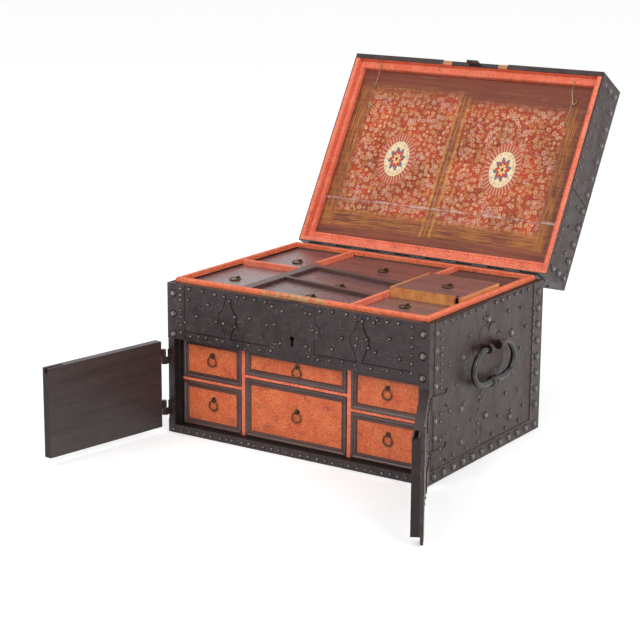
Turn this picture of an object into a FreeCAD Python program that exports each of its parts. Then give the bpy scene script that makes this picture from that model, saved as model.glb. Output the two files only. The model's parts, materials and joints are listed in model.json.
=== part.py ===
import FreeCAD, Part
import math
import os

# Iron-clad travelling strongbox, open: a wooden carcass under nailed iron plate, six drawers behind
# two doors, seven lidded compartments under a hinged lid. Millimetres, X to the right seen from the
# front, Y to the back, Z up. The origin is the middle of the underside.

V = FreeCAD.Vector

# Body
width = 500.0
depth = 373.0
body_height = 257.0
plate = 1.5
wall = 16.5
base_thickness = 14.0
shelf_thickness = 8.0
fascia_height = 94.0
band_thickness = 1.0
base_band_height = 22.0
corner_band_width = 34.0
lip_height = 8.0
lip_width = 8.5
fit = 0.3

# Lid
lid_height = 82.0
lid_angle = 121.0
lid_wall = 7.5
lid_top_thickness = 8.0
hinge_standoff = 8.1
lining_width = 14.0
lining_side_width = 8.0
lining_depth = 11.0
panel_depth = 20.0
panel_thickness = 3.0
ledge_width = 5.0
ledge_depth = 7.0
crease_from_hinge = 93.0

# Lid hinge
barrel_radius = 5.0
lid_pin_radius = 2.2
knuckle_count = 15
lid_hinge_inset = 20.0
leaf_thickness = 1.8
leaf_height = 36.0
leaf_drop = 6.0
pin_play = 0.06
hinge_arm_lap = 1.2
hinge_arm_gap = 0.8
hinge_arm_foot = 4.0

# Doors
door_thickness = 14.0
door_stands_proud = 4.0
door_rebate = 6.0
door_gap = 1.0
meeting_gap = 2.4
left_door_angle = 100.0
right_door_angle = 117.5
knuckle_out = 6.0
knuckle_front = 5.1
knuckle_radius = 4.0
door_pin_radius = 2.0
strap_height = 25.0
strap_thickness = 2.0
strap_reach = 78.0
strap_tail = 66.0
spade_end = 22.0
spade_shoulder = 18.0
spade_nose = 6.0
spade_flare = 5.0
strap_taper = 4.0
tail_neck = 16.0
tail_shoulder = 12.0
tail_flare = 3.0
hinge_arm_half = 1.5
lower_strap_z = 42.0
upper_strap_drop = 33.0
cover_strip_width = 27.0
cover_strip_thickness = 4.5
cover_strip_top = 6.5
cover_strip_bottom = 11.5

# Drawers
divider = 7.2
dust_board = 5.0
left_divider_x = -108.6
right_divider_x = 95.8
side_row_drop = 70.0
middle_row_drop = 47.3
frame_recess = 16.0
panel_recess = 18.0
drawer_front = 11.0
drawer_side = 7.0
drawer_bottom = 5.0
drawer_back_gap = 5.0
drawer_side_drop = 4.0
drawer_play = 0.8
moulding_width = 10.5
moulding_proud = 3.5

# Each drawer's ring: across from the middle of the box, and down from the top of its bay
drawer_rings = {"upper_left": (-172.0, 24.5), "lower_left": (-170.0, 27.5),
                "upper_middle": (-4.0, 17.0), "lower_middle": (-4.0, 41.7),
                "upper_right": (165.5, 24.5), "lower_right": (168.0, 26.5)}

# Compartments under the lid
partition_rise = 7.0
low_partition_drop = 7.0
lid_board = 5.0
partition = 7.0
thin_partition = 5.0
ledge = 8.0
left_row_y = 3.5
left_well_x = -124.5
back_left_x = -115.5
right_wall_x = 95.5
middle_wall_y = 51.0
front_right_y = -60.5
back_right_y = 69.0
well_cover_drop = 8.0

# Middle till, which sits askew with its left end up
till_tilt = 3.2
till_height = 40.0
till_left_rim = 16.0
till_back_rim = 14.0
till_thin = 3.0
till_divider = 8.0
till_floor = 4.0
till_bottom_drop = 46.0
till_split_y = -56.0
till_lid_drop = 6.0
till_left_gap = 1.8
till_right_gap = 3.2

# Right till, which stands above its neighbours
box_till_rise = 14.5
box_till_depth = 56.0
box_till_wall = 5.0
box_till_notch = 9.0
box_till_notch_depth = 14.0
box_till_ring_inset = 53.2
till_ledge = 4.0

# Facets of every pin, barrel and hole
round_sides = 12

# Pulls and rings
ring_radius = 9.0
ring_wire = 1.0
ring_chords = 14
eye_width = 3.0
eye_height = 4.8
eye_hole = 1.5
eye_axis_height = 2.7
rose_radius = 5.5
rose_thickness = 1.0

# Side handles
handle_y = -3.0
handle_below_mouth = 72.0
handle_standoff = 12.5
handle_half_width = 67.0
handle_drop = 56.0
handle_rod = 4.2
handle_grip = 5.4
handle_collar = 9.0
stub_half_gap = 17.0
lug_width = 7.0
lug_radius = 8.0
lug_play = 0.5
escutcheon_radius = 38.0
escutcheon_lobe = 15.0
escutcheon_lobes = 8
escutcheon_drop = 14.0

# Lock
lock_width = 84.0
lock_depth = 10.0
lock_height = 54.0
lock_wall = 1.2
bolt_thickness = 3.0
bolt_throw = 8.0
tongue_width = 20.0
tongue_gap = 12.0
bolt_bar_height = 8.0
bolt_arm_height = 28.0
bolt_arm_width = 8.0
keyhole_x = -1.6
keyhole_below_mouth = 60.0
keyhole_radius = 4.2
keyhole_slot = 4.4
keyhole_length = 13.0
pocket_depth = 9.0
strike_half = 47.0
strike_thickness = 3.0
nib_half = 11.0
nib_length = 14.0
nib_thickness = 4.0
bare_wood_half = 65.0
bare_wood_height = 11.0
lock_plate_half = 42.0
lock_plate_lobe = 13.0
lock_plate_lobe_inset = 2.0
lock_plate_drop = 2.0
overlay = 0.8
fascia_strip_height = 14.5
spade_offset = 126.0
spade_length = 65.0
spade_half = 16.8

# Catches on the document flap
catch_inset = 36.0
catch_wire = 0.8
catch_loop = 5.0
catch_eye = 2.4
catch_pivot_from_front = 93.0
catch_loop_from_front = 53.0
catch_tip_from_front = 14.0
catch_bend_from_front = 35.0

# Domed nails
stud_radius = 6.0
stud_height = 4.5
stud_crown = 3.0
stud_sides = 6
stud_pitch = 28.5
base_stud_pitch = 32.0
stud_edge = 17.0
fascia_stud_inset = 12.0
fascia_stud_rise = 8.0
strap_clearance = 22.0

# Lone studs on the side plates: along from the middle, and down from the mouth or up from the floor
upper_side_studs = ((-3.0, 29.0), (78.0, 68.0), (-84.0, 74.0))
lower_side_studs = ((-86.0, 100.0), (-4.0, 69.0), (-84.0, 45.0), (80.0, 45.0))

half_w = width / 2
half_d = depth / 2
wood_x = half_w - plate
wood_y = half_d - plate
inner_x = wood_x - wall
inner_y = wood_y - wall
opening_top = body_height - fascia_height
side_row_z = opening_top - side_row_drop
middle_row_z = opening_top - middle_row_drop
upper_strap_z = opening_top - upper_strap_drop
partition_top = body_height + partition_rise
low_partition_top = body_height - low_partition_drop
till_bottom_z = body_height - till_bottom_drop
box_till_top = body_height + box_till_rise
handle_z = body_height - handle_below_mouth
keyhole_z = body_height - keyhole_below_mouth
shelf_top = opening_top + shelf_thickness
mouth_z = body_height + fit
hinge_y = half_d + hinge_standoff
hinge_point = V(0, hinge_y, body_height)
lid_top = mouth_z + lid_height
lid_inner_x = wood_x - lid_wall
lid_inner_y = wood_y - lid_wall
panel_x = lid_inner_x - lining_side_width
panel_y = lid_inner_y - lining_width
panel_z = mouth_z + panel_depth
catch_x = panel_x - catch_inset
crease_y = half_d - crease_from_hinge
frame_y = -half_d + frame_recess
panel_face_y = -half_d + panel_recess
door_outer_y = -half_d - door_stands_proud
door_inner_y = door_outer_y + door_thickness
door_edge_x = inner_x + door_rebate - door_gap / 2
door_bottom = base_thickness + door_gap
door_top = opening_top - door_gap
knuckle_x = half_w + knuckle_out
knuckle_y = -half_d - knuckle_front
handle_x = half_w + handle_standoff
lid_level = low_partition_top + lid_board

nodes = {}


def add(name, *shapes):
    """Put solids in the node of this name."""
    for shape in shapes:
        nodes.setdefault(name, []).extend(shape.Solids)


def box(x0, x1, y0, y1, z0, z1):
    return Part.makeBox(x1 - x0, y1 - y0, z1 - z0, V(x0, y0, z0))


def prism(outline, direction):
    """A flat outline of points, extruded along a vector."""
    wire = Part.makePolygon(list(outline) + [outline[0]])
    return Part.Face(wire).extrude(direction)


def bridged(start, end):
    """A solid between two flat outlines with the same number of corners."""
    count = len(start)
    faces = [Part.Face(Part.makePolygon(outline + [outline[0]])) for outline in (start, end)]
    for i in range(count):
        n = (i + 1) % count
        faces.append(Part.Face(Part.makePolygon([start[i], start[n], end[n], end[i], start[i]])))
    solid = Part.makeSolid(Part.makeShell(faces))
    if solid.Volume < 0:
        solid.reverse()
    return solid


def mirrored(shape):
    return shape.mirror(V(0, 0, 0), V(1, 0, 0))


def ring_of_points(centre, tangent, radius, sides, up):
    """Corners of a regular polygon square to a tangent."""
    across = tangent.cross(up)
    across.normalize()
    over = across.cross(tangent)
    over.normalize()
    points = []
    for i in range(sides):
        turn = 2 * math.pi * (i + 0.5) / sides
        points.append(centre + across * (radius * math.cos(turn)) + over * (radius * math.sin(turn)))
    return points


def tube(points, radii, sides, up, closed=False):
    """A faceted bar that follows points, with mitred joints."""
    count = len(points)
    sections = []
    for i, point in enumerate(points):
        before = points[i - 1] if (i > 0 or closed) else point
        after = points[(i + 1) % count] if (i < count - 1 or closed) else point
        into = point - before
        out = after - point
        if into.Length > 0:
            into.normalize()
        if out.Length > 0:
            out.normalize()
        tangent = into + out
        tangent.normalize()
        stretch = 1.0
        if into.Length > 0 and out.Length > 0:
            stretch = 1.0 / max(tangent.dot(into), 0.5)
        across = tangent.cross(up)
        across.normalize()
        over = across.cross(tangent)
        over.normalize()
        corners = []
        for k in range(sides):
            turn = 2 * math.pi * (k + 0.5) / sides
            corner = across * (radii[i] * stretch * math.cos(turn)) + over * (radii[i] * math.sin(turn))
            corners.append(point + corner)
        sections.append(corners)
    faces = []
    steps = count if closed else count - 1
    for i in range(steps):
        here = sections[i]
        there = sections[(i + 1) % count]
        for k in range(sides):
            n = (k + 1) % sides
            quad = [here[k], here[n], there[n], there[k], here[k]]
            normal = (here[n] - here[k]).cross(there[k] - here[k])
            flat = normal.Length > 0 and abs((there[n] - here[k]).dot(normal)) / normal.Length < 1e-7
            if flat:
                faces.append(Part.Face(Part.makePolygon(quad)))
            else:
                faces.append(Part.Face(Part.makePolygon([here[k], here[n], there[n], here[k]])))
                faces.append(Part.Face(Part.makePolygon([here[k], there[n], there[k], here[k]])))
    if not closed:
        faces.append(Part.Face(Part.makePolygon(sections[0] + [sections[0][0]])))
        faces.append(Part.Face(Part.makePolygon(sections[-1] + [sections[-1][0]])))
    solid = Part.makeSolid(Part.makeShell(faces))
    if solid.Volume < 0:
        solid.reverse()
    return solid


def mitred_strips(a0, a1, b0, b1, section, place, narrow=1.0):
    """Four strips round a rectangle, mitred at the corners; a section point is (inward, height).

    The two strips at a0 and a1 are narrower than the section by the last factor.
    """
    def corner(a, b):
        sign_a = narrow if a == a0 else -narrow
        sign_b = 1 if b == b0 else -1
        return [place(a + sign_a * u, b + sign_b * u, h) for u, h in section]
    rounds = [(a0, b0), (a1, b0), (a1, b1), (a0, b1)]
    return [bridged(corner(*rounds[i]), corner(*rounds[(i + 1) % 4])) for i in range(4)]


def lid_ring(eye):
    """A ring pull that lies on a board, its eye at a point of the board's top, toward the front."""
    reach = ring_radius * math.cos(math.pi / ring_chords)
    dip = math.asin((eye_axis_height - ring_wire - 0.2) / (2 * reach))
    axis = eye + V(0, 0, eye_axis_height)
    points = []
    for i in range(ring_chords):
        turn = 2 * math.pi * (i + 0.5) / ring_chords
        along = reach - ring_radius * math.cos(turn)
        points.append(axis + V(ring_radius * math.sin(turn), -along * math.cos(dip), -along * math.sin(dip)))
    up = V(0, -math.sin(dip), math.cos(dip))
    return tube(points, [ring_wire] * ring_chords, 6, up, True)


def lid_eye(eye):
    """The rose and the pierced eye of a lid's ring."""
    rose = cylinder_prism(rose_radius, rose_thickness, eye, V(0, 0, 1), 10)
    stem = box(eye.x - eye_width / 2, eye.x + eye_width / 2, eye.y - 2.3, eye.y + 2.3,
               eye.z + rose_thickness, eye.z + eye_height)
    hole = cylinder_prism(eye_hole, eye_width + 2, eye + V(-eye_width / 2 - 1, 0, eye_axis_height),
                          V(1, 0, 0), 8)
    return rose.cut(hole), stem.cut(hole)


def cylinder_prism(radius, length, base, axis, sides):
    """A bar with a regular polygon section."""
    up = V(0, 0, 1) if abs(axis.z) < 0.9 else V(1, 0, 0)
    points = ring_of_points(base, axis, radius, sides, up)
    return prism(points, axis * length)


def round_bar(radius, length, base, axis):
    """A pin or barrel, its corners on the radius."""
    return cylinder_prism(radius, length, base, axis, round_sides)


def round_hole(radius, length, base, axis):
    """What a hole takes away, its flats on the radius, so that a bar turns inside it."""
    return cylinder_prism(radius / math.cos(math.pi / round_sides), length, base, axis, round_sides)


def drawer_ring(eye):
    """A ring pull that hangs in front of a drawer; the eye's point lies on the panel."""
    reach = ring_radius * math.cos(math.pi / ring_chords)
    axis = eye + V(0, -eye_axis_height, 0)
    points = []
    for i in range(ring_chords):
        turn = 2 * math.pi * (i + 0.5) / ring_chords
        drop = reach - ring_radius * math.cos(turn)
        points.append(axis + V(ring_radius * math.sin(turn), 0, -drop))
    return tube(points, [ring_wire] * ring_chords, 6, V(0, -1, 0), True)


def drawer_eye(eye):
    rose = cylinder_prism(rose_radius, rose_thickness, eye, V(0, -1, 0), 10)
    stem = box(eye.x - eye_width / 2, eye.x + eye_width / 2, eye.y - eye_height, eye.y - rose_thickness,
               eye.z - 2.3, eye.z + 2.3)
    hole = cylinder_prism(eye_hole, eye_width + 2, eye + V(-eye_width / 2 - 1, -eye_axis_height, 0),
                          V(1, 0, 0), 8)
    return rose.cut(hole), stem.cut(hole)


def stud(point, axis):
    """One big nail head."""
    up = V(0, 0, 1) if abs(axis.z) < 0.9 else V(1, 0, 0)
    foot = ring_of_points(point, axis, stud_radius, stud_sides, up)
    crown = ring_of_points(point + axis * stud_height, axis, stud_crown, stud_sides, up)
    return bridged(foot, crown)


def spread(start, end, pitch):
    """Even places from start to end, close to a pitch apart."""
    steps = max(1, round(abs(end - start) / pitch))
    return [start + (end - start) * i / steps for i in range(steps + 1)]


def build_carcass():
    add("base_board", box(-wood_x, wood_x, -wood_y, wood_y, 0, base_thickness))
    side = box(inner_x, wood_x, -wood_y, wood_y, base_thickness, body_height)
    rebate = box(inner_x - 1, inner_x + door_rebate, -wood_y - 1, door_inner_y + fit,
                 base_thickness - 1, opening_top)
    side = side.cut(rebate)
    add("side_boards", side, mirrored(side))
    add("back_board", box(-inner_x, inner_x, inner_y, wood_y, base_thickness, body_height))
    fascia = box(-inner_x, inner_x, -wood_y, -inner_y, opening_top, body_height)
    mortise = box(-lock_width / 2, lock_width / 2, -wood_y, -wood_y + lock_depth,
                  opening_top, opening_top + lock_height)
    nib_slot = box(-nib_half - 1.5, nib_half + 1.5, -wood_y, -wood_y + nib_thickness + 2.5,
                   body_height - nib_length - 2, body_height)
    add("fascia_board", fascia.cut(mortise).cut(nib_slot))
    add("shelf_board", box(-inner_x, inner_x, -inner_y, inner_y, opening_top, shelf_top))


def build_body_plates():
    side = box(wood_x, half_w, -wood_y, wood_y, 0, body_height)
    band = box(half_w, half_w + band_thickness, -half_d, half_d, 0, base_band_height)
    rear = box(half_w, half_w + band_thickness, half_d - corner_band_width, half_d,
               base_band_height, body_height)
    back = box(-half_w, half_w, wood_y, half_d, 0, body_height)
    add("shell_plates", side, band, rear, mirrored(side), mirrored(band), mirrored(rear), back)
    fascia = box(-half_w, half_w, -half_d, -wood_y, opening_top, body_height)
    slot = round_hole(keyhole_radius, plate * 3, V(keyhole_x, -wood_y + plate, keyhole_z), V(0, -1, 0))
    slit = box(keyhole_x - keyhole_slot / 2, keyhole_x + keyhole_slot / 2, -half_d - 1, -wood_y + 1,
               keyhole_z - keyhole_length, keyhole_z)
    fascia = fascia.cut(slot).cut(slit)
    stile = box(inner_x + door_rebate, half_w, -half_d, -wood_y, base_thickness, opening_top)
    rail = box(-half_w, half_w, -half_d, -wood_y, 0, base_thickness)
    corner = box(half_w - corner_band_width, half_w, -half_d - band_thickness, -half_d,
                 opening_top, body_height)
    add("front_plates", fascia, stile, mirrored(stile), rail, corner, mirrored(corner))
    lock_plate = scalloped_lock_plate().cut(slot).cut(slit)
    spades = [spade(keyhole_x + side * spade_offset) for side in (-1, 1)]
    add("front_plates", lock_plate, *spades)
    strip_top = opening_top + fascia_strip_height
    plate_end = lock_plate_half + fit
    corner_start = half_w - corner_band_width
    for x0, x1 in ((-corner_start, keyhole_x - plate_end), (keyhole_x + plate_end, corner_start)):
        add("front_plates", box(x0, x1, -half_d - overlay, -half_d, opening_top, strip_top))


def overlaid(outline):
    """A thin plate of this outline of (x, z) on the front of the fascia."""
    return prism([V(x, -half_d, z) for x, z in outline], V(0, -overlay, 0))


def scalloped_lock_plate():
    """The plate round the keyhole, with a lobe in the middle of each side."""
    low = opening_top + fit
    high = body_height - lock_plate_drop
    plate_box = box(keyhole_x - lock_plate_half, keyhole_x + lock_plate_half,
                    -half_d - overlay, -half_d, low, high)
    middle = low + (high - low) * 0.56
    for side in (-1, 1):
        spot = V(keyhole_x + side * (lock_plate_half - lock_plate_lobe_inset), -half_d, middle)
        plate_box = plate_box.fuse(cylinder_prism(lock_plate_lobe, overlay, spot, V(0, -1, 0), 16))
    return plate_box.removeSplitter()


def spade(x):
    """A spade-shaped strap end on the fascia, standing on the strip along its bottom edge."""
    bottom = opening_top + fascia_strip_height + fit
    shares = ((0.24, 0.0), (0.5, 0.22), (0.84, 0.4), (1.0, 0.54), (0.93, 0.64), (0.6, 0.72),
              (0.36, 0.86), (0.26, 1.0))
    right = [(x + spade_half * a, bottom + spade_length * b) for a, b in shares]
    left = [(2 * x - a, b) for a, b in reversed(right)]
    return overlaid(right + left)


def build_lip():
    section = [(0, 0), (lip_width, 0), (lip_width, lip_height - 1), (lip_width - 1, lip_height),
               (2.5, lip_height), (0, lip_height - 2.5)]
    lip_x = inner_x + lip_width
    lip_y = inner_y + lip_width
    strips = mitred_strips(-lip_x, lip_x, -lip_y, lip_y, section,
                           lambda a, b, h: V(a, b, body_height + h))
    add("rim_lip", *strips)


def build_partitions():
    half = partition / 2
    thin = thin_partition / 2
    bottom = shelf_top
    cross = box(-inner_x, left_well_x - thin, left_row_y - half, left_row_y + half, bottom, partition_top)
    tongue = box(left_well_x - thin, left_well_x + thin, left_row_y - half, left_row_y + half,
                 low_partition_top, partition_top)
    long_wall = box(right_wall_x - half, right_wall_x + half, -inner_y, inner_y, bottom, partition_top)
    back_wall = box(back_left_x - half, back_left_x + half, middle_wall_y + thin, inner_y,
                    bottom, partition_top)
    add("painted_partitions", cross.fuse(tongue).removeSplitter(), long_wall, back_wall)

    right_end = right_wall_x - half
    well_side = box(left_well_x - thin, left_well_x + thin, -inner_y, middle_wall_y + thin,
                    bottom, low_partition_top)
    well_back = box(left_well_x + thin, right_end, middle_wall_y - thin, middle_wall_y + thin,
                    bottom, low_partition_top)
    right_start = right_wall_x + half
    front_cross = box(right_start, inner_x, front_right_y - thin, front_right_y + thin,
                      bottom, low_partition_top)
    cover_z = partition_top - well_cover_drop
    back_cross = box(right_start, inner_x, back_right_y - thin, back_right_y + thin, bottom, cover_z)
    cover = box(right_start, inner_x, back_right_y + thin, inner_y, cover_z - lid_board, cover_z)
    add("plain_partitions", well_side, well_back, front_cross, back_cross, cover)

    top = low_partition_top
    low = top - ledge
    strips = [
        box(-inner_x, -inner_x + ledge, -inner_y, left_row_y - half, low, top),
        box(-inner_x, -inner_x + ledge, left_row_y + half, inner_y, low, top),
        box(back_left_x - half - ledge, back_left_x - half, middle_wall_y + thin, inner_y, low, top),
        box(back_left_x + half, right_end, inner_y - ledge, inner_y, low, top),
        box(right_start, inner_x, -inner_y, -inner_y + ledge, low, top),
    ]
    right_till_floor = box_till_top - box_till_depth
    for x0, x1 in ((right_start, right_start + ledge), (inner_x - ledge, inner_x)):
        strips.append(box(x0, x1, front_right_y + thin, back_right_y - thin,
                          right_till_floor - ledge, right_till_floor))
    till_right = right_end - till_right_gap
    strips.append(box(right_end - ledge, right_end, -inner_y, middle_wall_y - thin,
                      till_bottom_z - ledge, till_bottom_z))
    left_ledge_x = left_well_x + thin
    slope = math.tan(math.radians(till_tilt))
    start = V(left_ledge_x, -inner_y, till_bottom_z - ledge)
    def top_at(x):
        return till_bottom_z + (till_right - x) * slope

    outline = [start, V(left_ledge_x + ledge, -inner_y, start.z),
               V(left_ledge_x + ledge, -inner_y, top_at(left_ledge_x + ledge)),
               V(left_ledge_x, -inner_y, top_at(left_ledge_x))]
    strips.append(prism(outline, V(0, middle_wall_y - thin + inner_y, 0)))
    add("plain_partitions", *strips)


def build_drawer_frame():
    half = divider / 2
    uprights = []
    for x in (left_divider_x, right_divider_x):
        uprights.append(box(x - half, x + half, frame_y, inner_y, base_thickness, opening_top))
    boards = []
    bays = drawer_bays()
    for x0, x1, row_z in bays:
        boards.append(box(x0, x1, frame_y, inner_y, row_z - dust_board / 2, row_z + dust_board / 2))
    add("drawer_frame", *(uprights + boards))


def drawer_bays():
    half = divider / 2
    return [(-inner_x, left_divider_x - half, side_row_z),
            (left_divider_x + half, right_divider_x - half, middle_row_z),
            (right_divider_x + half, inner_x, side_row_z)]


def build_drawer(name, x0, x1, z0, z1, ring_x, ring_z):
    """A dovetailed drawer with a mitred moulding round its painted panel, and its ring pull."""
    left = x0 + drawer_play
    right = x1 - drawer_play
    top = z1 - drawer_play
    back = inner_y - drawer_back_gap
    front_back = panel_face_y + drawer_front
    front = box(left, right, panel_face_y, front_back, z0, top)
    low_top = top - drawer_side_drop
    side_l = box(left, left + drawer_side, front_back, back, z0, low_top)
    side_r = box(right - drawer_side, right, front_back, back, z0, low_top)
    rear = box(left + drawer_side, right - drawer_side, back - drawer_side, back, z0, low_top)
    floor = box(left + drawer_side, right - drawer_side, front_back, back - drawer_side,
                z0, z0 + drawer_bottom)
    p = moulding_proud
    section = [(0, 0), (moulding_width, 0), (moulding_width, p * 0.35), (moulding_width - 3, p * 0.6),
               (5.5, p), (1.5, p), (0, p * 0.75)]
    strips = mitred_strips(left, right, z0, top, section,
                           lambda a, b, h: V(a, panel_face_y - h, b))
    eye = V(ring_x, panel_face_y, ring_z)
    add("drawer_" + name, front, side_l, side_r, rear, floor, *strips)
    add("drawer_" + name, *drawer_eye(eye))
    add("ring_" + name, drawer_ring(eye))


def build_drawers():
    names = ("left", "middle", "right")
    for name, (x0, x1, row_z) in zip(names, drawer_bays()):
        low = (base_thickness, row_z - dust_board / 2)
        high = (row_z + dust_board / 2, opening_top)
        for level, (z0, z1) in (("lower_", low), ("upper_", high)):
            ring_x, ring_drop = drawer_rings[level + name]
            build_drawer(level + name, x0, x1, z0, z1, ring_x, z1 - ring_drop)


def build_compartment_lids():
    half = partition / 2
    thin = thin_partition / 2
    z0 = low_partition_top
    z1 = lid_level
    well_left = left_well_x + thin
    front = -inner_y + fit
    back = inner_y - fit
    left = -inner_x + fit
    right = inner_x - fit
    boards = {
        "front_left": (left, well_left - fit, front, left_row_y - half - fit, (-174.0, -93.0)),
        "back_left": (left, back_left_x - half - fit, left_row_y + half + fit, back, (-163.0, 76.0)),
        "back_middle": (back_left_x + half + fit, right_wall_x - half - fit, middle_wall_y - thin,
                        back, (-4.0, 101.0)),
        "front_right": (right_wall_x + half + fit, right, front, front_right_y + thin - fit,
                        (157.0, -98.0)),
    }
    for name, (x0, x1, y0, y1, (eye_x, eye_y)) in boards.items():
        eye = V(eye_x, eye_y, z1)
        board = box(x0, x1, y0, y1, z0, z1)
        if name == "back_left":
            rim = box(well_left - fit, x1 + 1, y0 - 1, middle_wall_y + thin + fit, z0 - 1, z1 + 1)
            board = board.cut(rim)
        add("lid_" + name, board)
        add("lid_" + name, *lid_eye(eye))
        add("ring_" + name, lid_ring(eye))


def tilted(shape):
    """Turn a piece of the middle till from level to the way it sits."""
    pivot = V(right_wall_x - partition / 2 - till_right_gap, 0, till_bottom_z)
    copy = shape.copy()
    copy.rotate(pivot, V(0, 1, 0), till_tilt)
    return copy


def build_middle_till():
    thin = thin_partition / 2
    left = left_well_x + thin + till_left_gap
    right = right_wall_x - partition / 2 - till_right_gap
    front = -inner_y + 0.6
    back = middle_wall_y - thin - 0.6
    z0 = till_bottom_z
    z1 = z0 + till_height
    in_left = left + till_left_rim
    in_right = right - till_thin
    in_front = front + till_thin
    in_back = back - till_back_rim
    split0 = till_split_y - till_divider / 2
    split1 = till_split_y + till_divider / 2
    lid_top_z = z1 - till_lid_drop
    lid_z = lid_top_z - lid_board
    boards = [
        box(left, right, front, back, z0, z0 + till_floor),
        box(left, in_left, front, back, z0 + till_floor, z1),
        box(in_right, right, front, back, z0 + till_floor, z1),
        box(in_left, in_right, in_back, back, z0 + till_floor, z1),
        box(in_left, in_right, front, in_front, z0 + till_floor, z1),
        box(in_left, in_right, split0, split1, z0 + till_floor, z1),
    ]
    for y0, y1 in ((in_front, split0), (split1, in_back)):
        for x0, x1 in ((in_left, in_left + till_ledge), (in_right - till_ledge, in_right)):
            boards.append(box(x0, x1, y0, y1, lid_z - till_ledge, lid_z))
    add("till_middle", *[tilted(b) for b in boards])
    spots = {"middle_front": (in_front, split0, -114.0), "middle_back": (split1, in_back, -27.0)}
    for name, (y0, y1, eye_y) in spots.items():
        eye = V(-12.0, eye_y, lid_top_z)
        board = box(in_left + fit, in_right - fit, y0 + fit, y1 - fit, lid_z, lid_top_z)
        add("lid_" + name, tilted(board), *[tilted(s) for s in lid_eye(eye)])
        add("ring_" + name, tilted(lid_ring(eye)))


def build_right_till():
    thin = thin_partition / 2
    x0 = right_wall_x + partition / 2 + 0.8
    x1 = inner_x - 0.8
    y0 = front_right_y + thin + 0.6
    y1 = back_right_y - thin - 0.6
    z1 = box_till_top
    z0 = z1 - box_till_depth
    t = box_till_wall
    lid_z = z1 - lid_board
    notch = box(x1 - t - box_till_notch, x1 - t, y0 - 1, y0 + t + 1, z1 - box_till_notch_depth, z1 + 1)
    boards = [
        box(x0 + t, x1 - t, y0 + t, y1 - t, z0, z0 + t),
        box(x0 + t, x1 - t, y0, y0 + t, z0, z1).cut(notch),
        box(x0 + t, x1 - t, y1 - t, y1, z0, z1),
        box(x0, x0 + t, y0, y1, z0, z1),
        box(x1 - t, x1, y0, y1, z0, z1),
    ]
    for a, b in ((x0 + t, x0 + t + till_ledge), (x1 - t - till_ledge, x1 - t)):
        boards.append(box(a, b, y0 + t, y1 - t, lid_z - till_ledge, lid_z))
    add("till_right", *boards)
    eye = V(x1 - box_till_ring_inset, 0.0, z1)
    add("lid_right", box(x0 + t + fit, x1 - t - fit, y0 + t + fit, y1 - t - fit, lid_z, z1))
    add("lid_right", *lid_eye(eye))
    add("ring_right", lid_ring(eye))


def build_lock():
    x = lock_width / 2
    y0 = -wood_y
    y1 = y0 + lock_depth
    z0 = opening_top
    z1 = z0 + lock_height
    hollow = box(-x + lock_wall, x - lock_wall, y0 + lock_wall, y1 - lock_wall, z0 + lock_wall, z1 - lock_wall)
    case = box(-x, x, y0, y1, z0, z1).cut(hollow)
    bolt_y0 = y0 + lock_wall + fit
    bolt_y1 = bolt_y0 + bolt_thickness
    for side in (-1, 1):
        a = side * tongue_gap / 2
        b = side * (tongue_gap / 2 + tongue_width)
        slot = box(min(a, b) - fit, max(a, b) + fit, bolt_y0 - fit, bolt_y1 + fit, z0 - 1, z0 + lock_wall + 1)
        case = case.cut(slot)
    key = round_hole(keyhole_radius, lock_wall * 4, V(keyhole_x, y0 + lock_wall * 2, keyhole_z),
                     V(0, -1, 0))
    slit = box(keyhole_x - keyhole_slot / 2, keyhole_x + keyhole_slot / 2, y0 - 1, y0 + lock_wall * 2,
               keyhole_z - keyhole_length, keyhole_z)
    add("lock_case", case.cut(key).cut(slit))

    bar_z = z0 + lock_wall + bolt_throw + fit
    bar_x = tongue_gap / 2 + tongue_width + bolt_arm_width
    bolt = box(-bar_x, bar_x, bolt_y0, bolt_y1, bar_z, bar_z + bolt_bar_height)
    for side in (-1, 1):
        a = side * tongue_gap / 2
        b = side * (tongue_gap / 2 + tongue_width)
        bolt = bolt.fuse(box(min(a, b), max(a, b), bolt_y0, bolt_y1, z0 + fit, bar_z))
        arm = sorted((side * (bar_x - bolt_arm_width), side * bar_x))
        bolt = bolt.fuse(box(arm[0], arm[1], bolt_y0, bolt_y1, bar_z + bolt_bar_height,
                             bar_z + bolt_bar_height + bolt_arm_height))
    add("lock_bolt", bolt.removeSplitter())


def door_strap(z, tip_x, hinge_x):
    """A door's strap, spade-ended, with its eye on the upper half of the knuckle."""
    y0 = door_outer_y
    y1 = y0 - strap_thickness
    h = strap_height / 2
    half = ((hinge_x, h), (tip_x + spade_end, h - strap_taper), (tip_x + spade_shoulder, h + spade_flare),
            (tip_x + spade_nose, h + spade_flare - tail_flare))
    outline = [V(x, y0, z - rise) for x, rise in half] + [V(tip_x, y0, z)]
    outline += [V(x, y0, z + rise) for x, rise in reversed(half)]
    leaf = prism(outline, V(0, y1 - y0, 0))
    arm = box(hinge_x, knuckle_x, y1, y0, z + fit, z + h)
    eye = round_bar(knuckle_radius, h - fit, V(knuckle_x, knuckle_y, z + fit), V(0, 0, 1))
    bore = round_hole(door_pin_radius + pin_play, h + 2, V(knuckle_x, knuckle_y, z - 1), V(0, 0, 1))
    return leaf.fuse(arm).fuse(eye).cut(bore).removeSplitter()


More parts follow.
